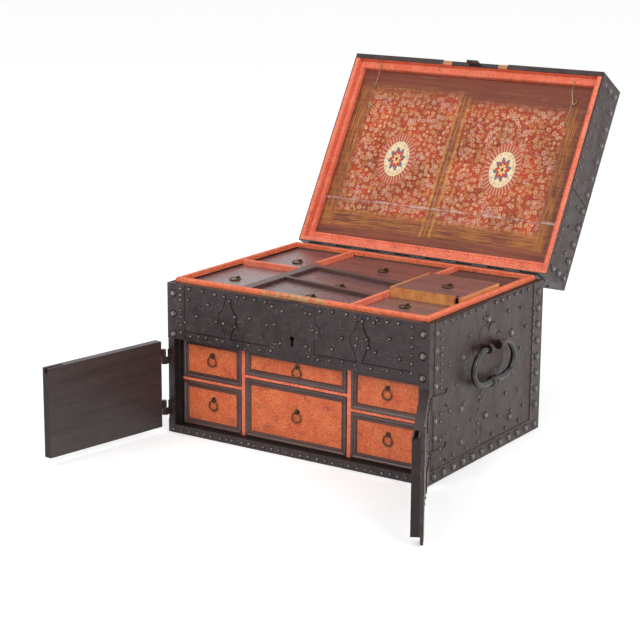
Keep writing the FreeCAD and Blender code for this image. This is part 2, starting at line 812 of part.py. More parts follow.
def door_pin(z):
    """The box side's half of a door hinge: a tail nailed to the side, a knuckle and its pin."""
    h = strap_height / 2
    tail_y = -half_d + strap_tail
    x0 = half_w
    x1 = half_w + strap_thickness
    near = knuckle_y - hinge_arm_half
    neck = tail_y - tail_neck
    shoulder = tail_y - tail_shoulder
    outline = [V(x0, near, z - h), V(x0, neck, z - h + strap_taper), V(x0, shoulder, z - h - tail_flare),
               V(x0, tail_y, z), V(x0, shoulder, z + h + tail_flare), V(x0, neck, z + h - strap_taper),
               V(x0, -half_d, z + h), V(x0, -half_d, z), V(x0, near, z)]
    tail = prism(outline, V(x1 - x0, 0, 0))
    arm = box(x0, knuckle_x, near, knuckle_y + hinge_arm_half, z - h, z)
    eye = round_bar(knuckle_radius, h, V(knuckle_x, knuckle_y, z - h), V(0, 0, 1))
    pin = round_bar(door_pin_radius, strap_height, V(knuckle_x, knuckle_y, z - h), V(0, 0, 1))
    return tail.fuse(arm).fuse(eye).fuse(pin).removeSplitter()


def build_doors():
    edge = meeting_gap / 2
    board = box(edge, door_edge_x, door_outer_y + plate, door_inner_y, door_bottom, door_top)
    bolt_y0 = -wood_y + lock_wall + fit
    pocket_end = tongue_gap / 2 + tongue_width + bolt_arm_width
    pocket = box(edge - 1, pocket_end, bolt_y0 - 1.5, bolt_y0 + bolt_thickness + 1.5,
                 door_top - pocket_depth, door_top + 1)
    board = board.cut(pocket)
    iron = box(edge, door_edge_x, door_outer_y, door_outer_y + plate, door_bottom, door_top)
    straps = [door_strap(z, door_edge_x - strap_reach, half_w - 3) for z in (lower_strap_z, upper_strap_z)]
    strip = box(edge, edge + cover_strip_width, door_outer_y - cover_strip_thickness, door_outer_y,
                door_bottom - cover_strip_bottom, door_top + cover_strip_top)
    closed = {"right": ([board], [iron, strip] + straps),
              "left": ([mirrored(board)], [mirrored(iron)] + [mirrored(s) for s in straps])}
    turns = {"right": (knuckle_x, right_door_angle), "left": (-knuckle_x, -left_door_angle)}
    for side, (boards, irons) in closed.items():
        x, angle = turns[side]
        for name, shapes in (("_board", boards), ("_iron", irons)):
            for shape in shapes:
                shape.rotate(V(x, knuckle_y, 0), V(0, 0, 1), angle)
                add("door_" + side + name, shape)
    pins = [door_pin(z) for z in (lower_strap_z, upper_strap_z)]
    add("door_pins", *(pins + [mirrored(p) for p in pins]))


def opened(shape):
    """Turn a piece of the lid from closed to open."""
    copy = shape.copy()
    copy.rotate(hinge_point, V(1, 0, 0), -lid_angle)
    return copy


def add_to_lid(name, *shapes):
    add(name, *[opened(s) for s in shapes])


def build_lid():
    z0 = mouth_z
    z1 = lid_top - plate
    z_board = z1 - lid_top_thickness
    strike_slot = box(-strike_half, strike_half, -wood_y, -lid_inner_y, z0, z0 + strike_thickness)
    fold = box(bare_wood_half, wood_x, -wood_y, -lid_inner_y, z0, z0 + plate)
    folds = fold.fuse(mirrored(fold))
    front = box(-wood_x, wood_x, -wood_y, -lid_inner_y, z0, z_board).cut(strike_slot).cut(folds)
    back = box(-wood_x, wood_x, lid_inner_y, wood_y, z0, z_board)
    side = box(lid_inner_x, wood_x, -lid_inner_y, lid_inner_y, z0, z_board)
    top = box(-wood_x, wood_x, -wood_y, wood_y, z_board, z1)
    add_to_lid("lid_boards", front, back, side, mirrored(side), top)

    bare = box(-bare_wood_half, bare_wood_half, -half_d - 1, -wood_y, z0 - 1, z0 + bare_wood_height)
    plates = [
        box(-half_w, half_w, -half_d, -wood_y, z0, z1).cut(bare).fuse(folds).removeSplitter(),
        box(-half_w, half_w, wood_y, half_d, z0, z1),
        box(-half_w, -wood_x, -wood_y, wood_y, z0, z1),
        box(wood_x, half_w, -wood_y, wood_y, z0, z1),
        box(-half_w, half_w, -half_d, half_d, z1, lid_top),
    ]
    add_to_lid("lid_plates", *plates)

    section = [(0, lining_depth), (1.5, lining_depth - 1), (6, lining_depth - 1), (7, lining_depth),
               (9, lining_depth), (10, lining_depth - 0.8), (12.5, lining_depth - 0.8),
               (lining_width, lining_depth + 1), (lining_width, panel_depth + panel_thickness),
               (lining_width + ledge_width, panel_depth + panel_thickness),
               (lining_width + ledge_width, panel_depth + panel_thickness + ledge_depth),
               (0, panel_depth + panel_thickness + ledge_depth)]
    strips = mitred_strips(-lid_inner_x, lid_inner_x, -lid_inner_y, lid_inner_y, section,
                           lambda a, b, h: V(a, b, mouth_z + h), lining_side_width / lining_width)
    fixed = box(-panel_x + fit, panel_x - fit, crease_y + fit, panel_y - fit,
                panel_z, panel_z + panel_thickness)
    add_to_lid("lid_lining", fixed, *strips)
    flap = box(-panel_x + fit, panel_x - fit, -panel_y + fit, crease_y, panel_z, panel_z + panel_thickness)
    add_to_lid("document_flap", flap)

    bar = box(-strike_half, strike_half, -wood_y, -lid_inner_y, z0, z0 + strike_thickness)
    nib = box(-nib_half, nib_half, -wood_y + 1, -wood_y + 1 + nib_thickness, z0 - nib_length, z0)
    add_to_lid("lid_strike", bar.fuse(nib).removeSplitter())


def build_catches():
    """Sprung wires on the flap: an eye, a finger loop and a tip that lies over the front lining."""
    for side, name in ((-1, "left"), (1, "right")):
        def at(x, from_front, depth_in):
            return V(side * (catch_x + x), -half_d + from_front, mouth_z + depth_in)
        low = panel_depth - catch_wire - 0.1
        high = lining_depth - 1 - catch_wire - 0.2
        r = catch_loop
        points = []
        for i in range(8):
            turn = math.radians(-60 + 300 * i / 7)
            points.append(at(catch_eye * math.sin(turn),
                             catch_pivot_from_front + catch_eye * (1 + math.cos(turn)), low))
        points.append(at(0.0, catch_pivot_from_front - 6, low))
        points.append(at(0.5, catch_loop_from_front + 12, low))
        for i in range(10):
            turn = math.radians(-30 + 300 * i / 9)
            points.append(at(-1 + r - r * math.cos(turn), catch_loop_from_front - r * math.sin(turn),
                             low - 0.3 * i))
        points.append(at(-1.0, catch_bend_from_front, high))
        points.append(at(-0.5, catch_tip_from_front + 3, high))
        points.append(at(-0.5, catch_tip_from_front, high))
        wire = tube(points, [catch_wire] * len(points), 6, V(0, 0, 1))
        add_to_lid("catch_" + name, wire)
    pins = []
    for side in (-1, 1):
        spot = V(side * catch_x, -half_d + catch_pivot_from_front + catch_eye, panel_z)
        pins.append(cylinder_prism(1.2, 2.2, spot, V(0, 0, -1), 8))
    add_to_lid("document_flap", *pins)


def build_lid_hinge():
    """One long hinge on the back: knuckles in turn on the body's leaf and on the lid's."""
    length = width - 2 * lid_hinge_inset
    step = length / knuckle_count
    start = -length / 2
    low = body_height - leaf_drop
    high = mouth_z + leaf_drop
    axis = V(1, 0, 0)
    body_part = box(start, -start, half_d, half_d + leaf_thickness, low - leaf_height, low)
    lid_part = box(start, -start, half_d, half_d + leaf_thickness, high, high + leaf_height)
    body_part = body_part.fuse(round_bar(lid_pin_radius, length, V(start, hinge_y, body_height), axis))
    arm_y = hinge_y - barrel_radius + hinge_arm_lap
    for i in range(knuckle_count):
        x0 = start + i * step + fit / 2
        x1 = x0 + step - fit
        barrel = round_bar(barrel_radius, x1 - x0, V(x0, hinge_y, body_height), axis)
        if i % 2 == 0:
            arm = box(x0, x1, half_d, arm_y, low - hinge_arm_foot, body_height - hinge_arm_gap)
            body_part = body_part.fuse(arm).fuse(barrel)
        else:
            arm = box(x0, x1, half_d, arm_y, body_height + hinge_arm_gap, high + hinge_arm_foot)
            lid_part = lid_part.fuse(arm).fuse(barrel)
    bore = round_hole(lid_pin_radius + pin_play, length, V(start, hinge_y, body_height), axis)
    add("lid_hinge_body_leaf", body_part.removeSplitter())
    add_to_lid("lid_hinge_lid_leaf", lid_part.cut(bore).removeSplitter())


def handle_path():
    """Centre line of a hanging handle in its own plane: out of the lugs, round and under the grip."""
    w = handle_half_width
    d = handle_drop
    half = [(stub_half_gap - 5.5, 0), (stub_half_gap + 8, 0), (stub_half_gap + 22, 0.5),
            (w * 0.82, -d * 0.13), (w, -d * 0.5), (w * 0.84, -d * 0.86), (w * 0.5, -d * 0.99), (14, -d)]
    left = [(-y, z) for y, z in half]
    return left + [(y, z) for y, z in reversed(half)]


def build_handles():
    raw = [V(handle_x, handle_y + y, handle_z + z) for y, z in handle_path()]
    middle = len(raw) // 2
    stub = raw[0:2]
    curve = Part.BSplineCurve()
    curve.interpolate(raw[1:middle])
    first, last = curve.FirstParameter, curve.LastParameter
    count = 12
    bow = [curve.value(first + (last - first) * i / (count - 1)) for i in range(count)]
    points = [stub[0]] + bow
    radii = [handle_rod] * 4 + [handle_rod + (handle_grip - handle_rod) * i / (count - 4) for i in range(count - 3)]
    grip = []
    for y, r in ((-9.5, handle_grip * 1.02), (-9.0, handle_grip * 1.3), (-5.5, handle_grip * 1.3),
                 (-5.0, handle_grip), (-3.0, handle_grip), (-2.5, handle_collar)):
        grip.append((V(handle_x, handle_y + y, handle_z - handle_drop), r))
    half_points = points + [p for p, r in grip]
    half_radii = radii + [r for p, r in grip]
    other = [V(p.x, 2 * handle_y - p.y, p.z) for p in reversed(half_points)]
    path = half_points + other
    sizes = half_radii + list(reversed(half_radii))
    right = tube(path, sizes, 8, V(1, 0, 0))
    add("handle_right", right)
    add("handle_left", mirrored(right))

    plates = []
    centre = V(half_w, handle_y, handle_z - escutcheon_drop)
    disc = cylinder_prism(escutcheon_radius, band_thickness, centre, V(1, 0, 0), 16)
    for i in range(escutcheon_lobes):
        turn = 2 * math.pi * (i + 0.5) / escutcheon_lobes
        spot = centre + V(0, escutcheon_radius * math.cos(turn), escutcheon_radius * math.sin(turn))
        disc = disc.fuse(cylinder_prism(escutcheon_lobe, band_thickness, spot, V(1, 0, 0), 8))
    plates.append(disc.removeSplitter())
    face_x = half_w + band_thickness
    for side in (-1, 1):
        y = handle_y + side * stub_half_gap
        base = V(handle_x, y - lug_width / 2, handle_z)
        eye = round_bar(lug_radius, lug_width, base, V(0, 1, 0))
        web = box(face_x, handle_x, y - lug_width / 2, y + lug_width / 2, handle_z - 6, handle_z + 6)
        hole = round_hole(handle_rod + lug_play, lug_width + 2, base - V(0, 1, 0), V(0, 1, 0))
        behind = box(half_w - 10, face_x, y - 10, y + 10, handle_z - 12, handle_z + 12)
        plates.append(eye.fuse(web).cut(hole).cut(behind).removeSplitter())
    add("handle_lugs", *(plates + [mirrored(p) for p in plates]))


def build_studs():
    studs = []
    top = body_height - stud_edge
    edge = half_d - stud_edge
    right = V(1, 0, 0)
    band_x = half_w + band_thickness
    column = spread(base_band_height + 23, top, stud_pitch)
    side_spots = [V(band_x, edge, z) for z in column]
    side_spots += [V(half_w, -edge + 2, z) for z in column if abs(z - lower_strap_z) > strap_clearance
                   and abs(z - upper_strap_z) > strap_clearance]
    side_spots += [V(band_x, y, base_band_height / 2) for y in spread(-edge, edge, base_stud_pitch)]
    side_spots += [V(half_w, y, body_height - drop) for y, drop in upper_side_studs]
    side_spots += [V(half_w, y, z) for y, z in lower_side_studs]
    for spot in side_spots:
        studs.append(stud(spot, right))
        studs.append(mirrored(studs[-1]))
    front = V(0, -1, 0)
    front_y = -half_d - band_thickness
    for z in spread(opening_top + fascia_stud_rise, top, stud_pitch):
        x = half_w - fascia_stud_inset
        studs.append(stud(V(x, front_y, z), front))
        studs.append(mirrored(studs[-1]))
    back = V(0, 1, 0)
    leaf_bottom = body_height - leaf_drop - leaf_height
    for x in (-half_w + stud_edge, half_w - stud_edge):
        for z in spread(stud_edge, leaf_bottom - stud_edge / 2, stud_pitch):
            studs.append(stud(V(x, half_d, z), back))
    add("body_studs", *studs)

    lid_studs = []
    high = lid_top - stud_edge
    low = mouth_z + stud_edge
    for y in (-edge, edge):
        for z in spread(low, high, stud_pitch):
            lid_studs.append(stud(V(half_w, y, z), right))
    for y in spread(-edge, edge, base_stud_pitch)[1:-1]:
        lid_studs.append(stud(V(half_w, y, high), right))
    lid_studs += [mirrored(s) for s in lid_studs]
    for x in spread(-half_w + stud_edge, half_w - stud_edge, 2 * base_stud_pitch):
        for y in (-edge, edge):
            lid_studs.append(stud(V(x, y, lid_top), V(0, 0, 1)))
    add_to_lid("lid_studs", *lid_studs)


def write_parts():
    os.makedirs("parts", exist_ok=True)
    for name, solids in nodes.items():
        shape = solids[0] if len(solids) == 1 else Part.makeCompound(solids)
        if not shape.isValid():
            print("not valid:", name)
        shape.exportStep("parts/" + name + ".step")
    print(len(nodes), "nodes,", sum(len(s) for s in nodes.values()), "solids")


build_carcass()
build_body_plates()
build_lip()
build_partitions()
build_drawer_frame()
build_drawers()
build_compartment_lids()
build_middle_till()
build_right_till()
build_lock()
build_doors()
build_lid()
build_catches()
build_lid_hinge()
build_handles()
build_studs()
write_parts()
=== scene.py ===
# %% [markdown]
# # An iron-clad strongbox, dressed
#
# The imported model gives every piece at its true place. This lesson gives each one its surface, and
# models again what plain solids can't show: hammered plate, domed nails, mouldings, rings and the
# patterned lining of the lid. Everything is in metres, with the front at -Y and Z up.

# %% Load the frame
import json
import math
import random

import bmesh
import bpy
from mathutils import Matrix, Vector


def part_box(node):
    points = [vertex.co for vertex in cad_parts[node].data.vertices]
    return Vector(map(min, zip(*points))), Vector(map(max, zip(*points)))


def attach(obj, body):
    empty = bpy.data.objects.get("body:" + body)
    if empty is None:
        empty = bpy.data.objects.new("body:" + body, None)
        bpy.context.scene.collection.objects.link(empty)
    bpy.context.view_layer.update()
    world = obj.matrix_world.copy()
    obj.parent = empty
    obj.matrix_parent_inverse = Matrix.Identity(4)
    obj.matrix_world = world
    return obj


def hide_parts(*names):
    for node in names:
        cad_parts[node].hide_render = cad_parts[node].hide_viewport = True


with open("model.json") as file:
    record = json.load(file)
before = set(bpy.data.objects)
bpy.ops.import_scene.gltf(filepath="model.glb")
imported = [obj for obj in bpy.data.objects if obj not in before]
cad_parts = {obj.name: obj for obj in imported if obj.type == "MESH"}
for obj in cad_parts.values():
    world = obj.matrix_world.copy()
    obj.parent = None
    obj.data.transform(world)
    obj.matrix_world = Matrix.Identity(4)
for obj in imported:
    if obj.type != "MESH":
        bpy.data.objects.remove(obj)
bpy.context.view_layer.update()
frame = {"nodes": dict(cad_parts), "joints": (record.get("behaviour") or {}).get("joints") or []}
nodes = frame["nodes"]
print("nodes:", len(nodes))

# %% [markdown]
# ## Driving sizes
#
# The body's box comes from the frame, and the lid's angle from its joint. With them a point of the
# closed lid can be turned to where it lies now, so all of the lid is modelled lying flat and closed.

# %% Sizes from the frame
MM = 0.001
joints = {j["name"]: j for j in frame["joints"]}
boards_low, boards_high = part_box("side_boards")
plate = 1.5 * MM
half_w = boards_high.x + plate
half_d = boards_high.y + plate
body_top = boards_high.z
print("side boards (mm):", [round(v / MM, 1) for v in boards_high - boards_low])
lid_joint = joints["lid_hinge"]
lid_axis_point = Vector(lid_joint["pos_m"])
lid_angle = -math.radians(lid_joint["range_deg"][0])
lid_turn = (Matrix.Translation(lid_axis_point) @ Matrix.Rotation(-lid_angle, 4, "X")
            @ Matrix.Translation(-lid_axis_point))
print("half width, half depth, top (mm):", [round(v / MM, 1) for v in (half_w, half_d, body_top)])

# %% [markdown]
# ## Camera, floor and light
#
# The camera stands where the photographer's did, worked out from the box's edges. The floor is
# white and very large. Three soft area lamps light the box as a studio would: a key light from the
# upper left, a wide fill from the right, and a weak one behind. Two small lamps put a spark on the
# nails.

# %% Camera
scene = bpy.context.scene
scene.view_settings.view_transform = "Standard"
camera_data = bpy.data.cameras.new("camera")
camera_data.sensor_width = 36.0
camera_data.lens = 105.5
camera = bpy.data.objects.new("camera", camera_data)
scene.collection.objects.link(camera)
right = Vector((0.835243, 0.549835, 0.00706))
up = Vector((-0.139539, 0.199516, 0.969908))
backward = Vector((0.531881, -0.811095, 0.243368))
turn = Matrix((right, up, backward)).transposed().to_4x4()
camera.matrix_world = Matrix.Translation(Vector((1.611073, -2.566019, 0.949532))) @ turn
scene.camera = camera


# %% Floor and lamps
def area_lamp(name, place, target, size, power):
    """A square soft lamp that looks at a point."""
    data = bpy.data.lights.new(name, "AREA")
    data.shape = "SQUARE"
    data.size = size
    data.energy = power
    lamp = bpy.data.objects.new(name, data)
    lamp.location = place
    lamp.rotation_euler = (Vector(target) - Vector(place)).to_track_quat("-Z", "Y").to_euler()
    scene.collection.objects.link(lamp)
    return lamp


def plain_material(name):
    """A node material with one Principled shader, and its tree."""
    material = bpy.data.materials.new(name)
    material.use_nodes = True
    tree = material.node_tree
    tree.nodes.clear()
    output = tree.nodes.new("ShaderNodeOutputMaterial")
    shader = tree.nodes.new("ShaderNodeBsdfPrincipled")
    tree.links.new(shader.outputs[0], output.inputs[0])
    return material, tree, shader


def make_floor():
    mesh = bmesh.new()
    bmesh.ops.create_grid(mesh, x_segments=2, y_segments=2, size=30.0)
    data = bpy.data.meshes.new("floor")
    mesh.to_mesh(data)
    mesh.free()
    floor = bpy.data.objects.new("floor", data)
    floor.location.z = -0.0005
    scene.collection.objects.link(floor)
    material, tree, shader = plain_material("white floor")
    shader.inputs["Base Color"].default_value = (0.9, 0.9, 0.9, 1)
    shader.inputs["Roughness"].default_value = 0.9
    shader.inputs["Specular IOR Level"].default_value = 0.1
    shader.inputs["Emission Color"].default_value = (1, 1, 1, 1)
    rays = tree.nodes.new("ShaderNodeLightPath")
    seen = tree.nodes.new("ShaderNodeMath")
    seen.operation = "MAXIMUM"
    tree.links.new(rays.outputs["Is Camera Ray"], seen.inputs[0])
    tree.links.new(rays.outputs["Is Glossy Ray"], seen.inputs[1])
    glow = tree.nodes.new("ShaderNodeMath")
    glow.operation = "MULTIPLY"
    glow.inputs[1].default_value = 0.33
    tree.links.new(seen.outputs[0], glow.inputs[0])
    tree.links.new(glow.outputs[0], shader.inputs["Emission Strength"])
    data.materials.append(material)


make_floor()
area_lamp("key", (-1.2, -2.6, 2.8), (0, 0, 0.2), 1.4, 30)
area_lamp("fill", (2.8, -1.0, 1.8), (0, 0, 0.2), 1.8, 30)
area_lamp("rear", (0.4, 2.4, 2.4), (0, 0, 0.3), 2.0, 10)
area_lamp("spark front", (0.3, -2.4, 1.9), (0, 0, 0.2), 0.3, 10)
area_lamp("spark side", (2.6, -0.2, 2.0), (0, 0, 0.2), 0.3, 10)
world = bpy.data.worlds.new("studio")
world.use_nodes = True
background = world.node_tree.nodes["Background"]
background.inputs["Color"].default_value = (1, 1, 1, 1)
rays = world.node_tree.nodes.new("ShaderNodeLightPath")
white_for = world.node_tree.nodes.new("ShaderNodeMath")
white_for.operation = "MAXIMUM"
world.node_tree.links.new(rays.outputs["Is Camera Ray"], white_for.inputs[0])
world.node_tree.links.new(rays.outputs["Is Glossy Ray"], white_for.inputs[1])
strength = world.node_tree.nodes.new("ShaderNodeMath")
strength.operation = "MULTIPLY_ADD"
strength.inputs[1].default_value = 0.3
strength.inputs[2].default_value = 0.7
world.node_tree.links.new(white_for.outputs[0], strength.inputs[0])
world.node_tree.links.new(strength.outputs[0], background.inputs["Strength"])
scene.world = world

# %% [markdown]
# ## Finishes
#
# Old paint, iron and varnish are never one flat colour. Each material below is built from a few
# noise patterns on the piece's own coordinates: a broad one for stain and wear, a fine one for
# pits or grain, and a bump made from the same patterns, so that colour and relief agree.


# %% Shader helpers
def node(tree, kind, inputs=None, **settings):
    """One shader node. An input that is a socket is linked, and any other is typed in."""
    made = tree.nodes.new("ShaderNode" + kind)
    for name, value in settings.items():
        setattr(made, name, value)
    for name, value in (inputs or {}).items():
        if isinstance(value, bpy.types.NodeSocket):
            tree.links.new(value, made.inputs[name])
        else:
            made.inputs[name].default_value = value
    return made


def colour(red, green, blue):
    """A colour given in the 0-255 of a picture, as the shader wants it."""
    def linear(v):
        v = v / 255
        return v / 12.92 if v <= 0.04045 else ((v + 0.055) / 1.055) ** 2.4
    return (linear(red), linear(green), linear(blue), 1.0)


def place(tree, scale=(1, 1, 1), turn=(0, 0, 0), move=(0, 0, 0)):
    """Object coordinates, in metres, stretched or turned."""
    source = node(tree, "TexCoord").outputs["Object"]
    return node(tree, "Mapping", {"Vector": source, "Scale": scale, "Rotation": turn,
                                  "Location": move}).outputs[0]


def noise(tree, vector, scale, detail=5.0, roughness=0.6, twist=0.0):
    return node(tree, "TexNoise", {"Vector": vector, "Scale": scale, "Detail": detail,
                                   "Roughness": roughness, "Distortion": twist}).outputs[0]


def ramp(tree, value, *stops):
    """A colour ramp from (position, colour) stops; a grey stop may be one number."""
    made = node(tree, "ValToRGB", {"Fac": value})
    elements = made.color_ramp.elements
    while len(elements) < len(stops):
        elements.new(0.5)
    for element, (position, tint) in zip(elements, stops):
        element.position = position
        element.color = tint if isinstance(tint, tuple) else (tint, tint, tint, 1)
    return made.outputs[0]


def mix(tree, amount, first, second, blend="MIX"):
    made = node(tree, "Mix", {"Factor": amount}, data_type="RGBA", blend_type=blend)
    for socket, value in ((made.inputs[6], first), (made.inputs[7], second)):
        if isinstance(value, bpy.types.NodeSocket):
            tree.links.new(value, socket)
        else:
            socket.default_value = value
    return made.outputs[2]


def maths(tree, operation, first, second=0.0, clamp=False):
    made = node(tree, "Math", operation=operation, use_clamp=clamp)
    for socket, value in ((made.inputs[0], first), (made.inputs[1], second)):
        if isinstance(value, bpy.types.NodeSocket):
            tree.links.new(value, socket)
        else:
            socket.default_value = value
    return made.outputs[0]


def bump(tree, height, distance, strength=1.0, under=None):
    inputs = {"Height": height, "Distance": distance, "Strength": strength}
    if under is not None:
        inputs["Normal"] = under
    return node(tree, "Bump", inputs).outputs[0]


# %% [markdown]
# ### Iron
#
# The plates are hand-hammered sheet, blackened and waxed. Under a soft light they show broad dents
# a few centimetres across, fine pits, and brown and grey patches where the wax has worn. The rubbed
# iron of the handles and nails is the same metal, a little brighter and smoother.


# %% Iron finishes
def iron(name, dark, light, roughness, dent, pit, metallic=0.0, specular=0.4, wear=0.5):
    material, tree, shader = plain_material(name)
    where = place(tree)
    broad = noise(tree, where, 13.0, 2.0, 0.5)
    knocks = noise(tree, place(tree, move=(5, 2, 7)), 42.0, 2.0, 0.5)
    patches = noise(tree, where, 55.0, 7.0, 0.68)
    pits = noise(tree, where, 520.0, 3.0, 0.6)
    rust = noise(tree, place(tree, move=(3, 1, 2)), 21.0, 8.0, 0.72)
    base = mix(tree, ramp(tree, patches, (0.36, 0.0), (0.68, 1.0)), dark, light)
    base = mix(tree, ramp(tree, rust, (0.56, 0.0), (0.74, 0.6)), base, colour(82, 58, 50))
    for turned_by, stretch in (((0.5, 0.9, 0.3), (1, 1, 0.1)), ((0.2, -0.7, 0.8), (0.12, 1, 1))):
        streaks = noise(tree, place(tree, scale=stretch, turn=turned_by), 620.0, 2.0, 0.5)
        scratches = ramp(tree, streaks, (0.66, 0.0), (0.70, wear))
        base = mix(tree, scratches, base, colour(126, 112, 108))
    shader.inputs["Metallic"].default_value = metallic
    shader.inputs["Specular IOR Level"].default_value = specular
    tree.links.new(base, shader.inputs["Base Color"])
    rough = maths(tree, "MULTIPLY_ADD", patches, 0.4)
    rough.node.inputs[2].default_value = roughness - 0.2
    tree.links.new(rough, shader.inputs["Roughness"])
    surface = bump(tree, broad, dent)
    surface = bump(tree, knocks, dent * 0.16, 0.8, surface)
    surface = bump(tree, patches, pit * 2.5, 0.8, surface)
    surface = bump(tree, pits, pit, 0.7, surface)
    tree.links.new(surface, shader.inputs["Normal"])
    return material


iron_plate = iron("black iron plate", colour(42, 31, 30), colour(68, 52, 50), 0.38, 0.010, 0.0006, 0.0, 0.3, 0.3)
iron_front = iron("black fascia plate", colour(35, 24, 26), colour(56, 41, 44), 0.35, 0.012, 0.0007, wear=0.4)
iron_rubbed = iron("rubbed iron", colour(34, 27, 27), colour(62, 52, 51), 0.26, 0.0006, 0.0002, 0.1, 0.8, 0.4)
# Lighter nail crowns: rubbed wear, and a painted highlight on top of each dome.
crown_wear_and_highlight = iron("worn nail crown and painted highlight", colour(98, 88, 86), colour(160, 148, 144), 0.24, 0.0003, 0.0001, 0.5, 0.8, 0.2)
iron_forged = iron("forged iron", colour(20, 15, 15), colour(38, 30, 29), 0.25, 0.0014, 0.0004, 0.0, 0.5, 0.4)
iron_dark = iron("dark iron", colour(26, 22, 22), colour(48, 42, 41), 0.38, 0.001, 0.0003)
# A near-black for the seam lines and the rings round the nails' feet: part dirt and rust, part painted shade.
dirt_and_shade = iron("dirt and painted shade in the seams", colour(12, 10, 10), colour(24, 19, 18), 0.75, 0.0005, 0.0003, 0.0, 0.15, 0.0)
pale_brass = iron("pale brass wire", colour(120, 96, 66), colour(186, 162, 122), 0.3, 0.0004, 0.0001, 0.5, 0.6, 0.2)
brass = iron("dark bronze", colour(48, 32, 22), colour(112, 86, 54), 0.28, 0.0005, 0.0002, 0.55, 0.5, 0.2)


# %% [markdown]
# ### Painted wood
#
# The lip, the lid's lining and the drawer panels are painted with orange-red lead paint. It is
# mottled, a little darker where hands have been, and grained by the brush.


# %% Painted finishes
def paint(name, base_tint, dark_tint, light_tint, chips=0.5, chipped_from=None):
    material, tree, shader = plain_material(name)
    where = place(tree)
    clouds = noise(tree, where, 30.0, 6.0, 0.65)
    specks = noise(tree, where, 420.0, 4.0, 0.75)
    stains = noise(tree, place(tree, move=(1, 4, 2)), 48.0, 8.0, 0.72)
    base = mix(tree, ramp(tree, clouds, (0.34, 0.0), (0.66, 1.0)), base_tint, light_tint)
    base = mix(tree, ramp(tree, specks, (0.46, 0.0), (0.62, 0.85)), base, dark_tint)
    base = mix(tree, ramp(tree, stains, (0.54, 0.0), (0.72, 0.75)), base, colour(128, 62, 44))
    flakes = noise(tree, place(tree, move=(7, 7, 1)), 95.0, 7.0, 0.7)
    gone = ramp(tree, flakes, (0.70, 0.0), (0.715, chips))
    if chipped_from is not None:
        x = node(tree, "SeparateXYZ", {"Vector": where}).outputs[0]
        low, high = chipped_from
        near = maths(tree, "MINIMUM", maths(tree, "SUBTRACT", x, low), maths(tree, "SUBTRACT", high, x))
        near = maths(tree, "MULTIPLY", near, 70.0, True)
        y = node(tree, "SeparateXYZ", {"Vector": where}).outputs[1]
        near = maths(tree, "MULTIPLY", near, maths(tree, "LESS_THAN", y, -0.15))
        patch = ramp(tree, flakes, (0.47, 0.0), (0.51, 1.0))
        gone = maths(tree, "MAXIMUM", gone, maths(tree, "MULTIPLY", near, patch))
    base = mix(tree, gone, base, colour(196, 146, 98))
    tree.links.new(base, shader.inputs["Base Color"])
    shader.inputs["Roughness"].default_value = 0.5
    shader.inputs["Specular IOR Level"].default_value = 0.35
    surface = bump(tree, specks, 0.0007, 0.9)
    surface = bump(tree, clouds, 0.0014, 0.6, surface)
    surface = bump(tree, maths(tree, "SUBTRACT", 1.0, gone), 0.0008, 0.8, surface)
    tree.links.new(surface, shader.inputs["Normal"])
    return material


orange = paint("orange lead paint", colour(232, 116, 84), colour(190, 74, 48), colour(246, 142, 110))
orange_rim = paint("worn orange rim", colour(230, 108, 70), colour(176, 66, 40), colour(242, 132, 92), 0.8,
                   (-0.075, 0.06))
orange_panel = paint("orange panel paint", colour(218, 102, 62), colour(160, 60, 34), colour(236, 132, 80), 0.3)


# %% [markdown]
# ### Wood
#
# Three woods show: dark stained boards, red-brown varnished lids with a soft shine, and the bare
# pale softwood of the right till. The grain runs along one axis: noise squeezed across it.


# %% Wood finishes
def wood(name, dark, light, along="X", roughness=0.5, coat=0.0, scratches=0.0, ripple=0.0, specular=0.5):
    material, tree, shader = plain_material(name)
    squeeze = {"X": (0.06, 1, 1), "Y": (1, 0.06, 1), "XY": (0.06, 0.06, 1)}[along]
    where = place(tree, scale=squeeze)
    rings = noise(tree, where, 60.0, 6.0, 0.6, 0.6)
    fibres = noise(tree, where, 700.0, 4.0, 0.7)
    clouds = noise(tree, place(tree), 16.0, 4.0, 0.6)
    base = mix(tree, ramp(tree, rings, (0.32, 0.0), (0.7, 1.0)), dark, light)
    base = mix(tree, ramp(tree, fibres, (0.4, 0.35), (0.62, 0.0)), base, dark, "MULTIPLY")
    base = mix(tree, ramp(tree, clouds, (0.4, 0.0), (0.75, 0.35)), base, dark)
    if scratches:
        lines = noise(tree, place(tree, scale=(1, 0.02, 0.02), turn=(0, 0.5, 0.2)), 500.0, 2.0, 0.5)
        mark = ramp(tree, lines, (0.69, 0.0), (0.72, scratches))
        base = mix(tree, mark, base, light)
    tree.links.new(base, shader.inputs["Base Color"])
    rough = maths(tree, "MULTIPLY_ADD", clouds, 0.2)
    rough.node.inputs[2].default_value = roughness - 0.1
    tree.links.new(rough, shader.inputs["Roughness"])
    shader.inputs["Specular IOR Level"].default_value = specular
    shader.inputs["Coat Weight"].default_value = coat
    shader.inputs["Coat Roughness"].default_value = 0.25
    surface = bump(tree, rings, 0.0006, 0.6)
    surface = bump(tree, fibres, 0.0002, 0.6, surface)
    if ripple:
        waves = noise(tree, place(tree, move=(2, 6, 3)), 130.0, 4.0, 0.6)
        surface = bump(tree, waves, ripple, 0.8, surface)
        tree.links.new(surface, shader.inputs["Coat Normal"])
    tree.links.new(surface, shader.inputs["Normal"])
    return material


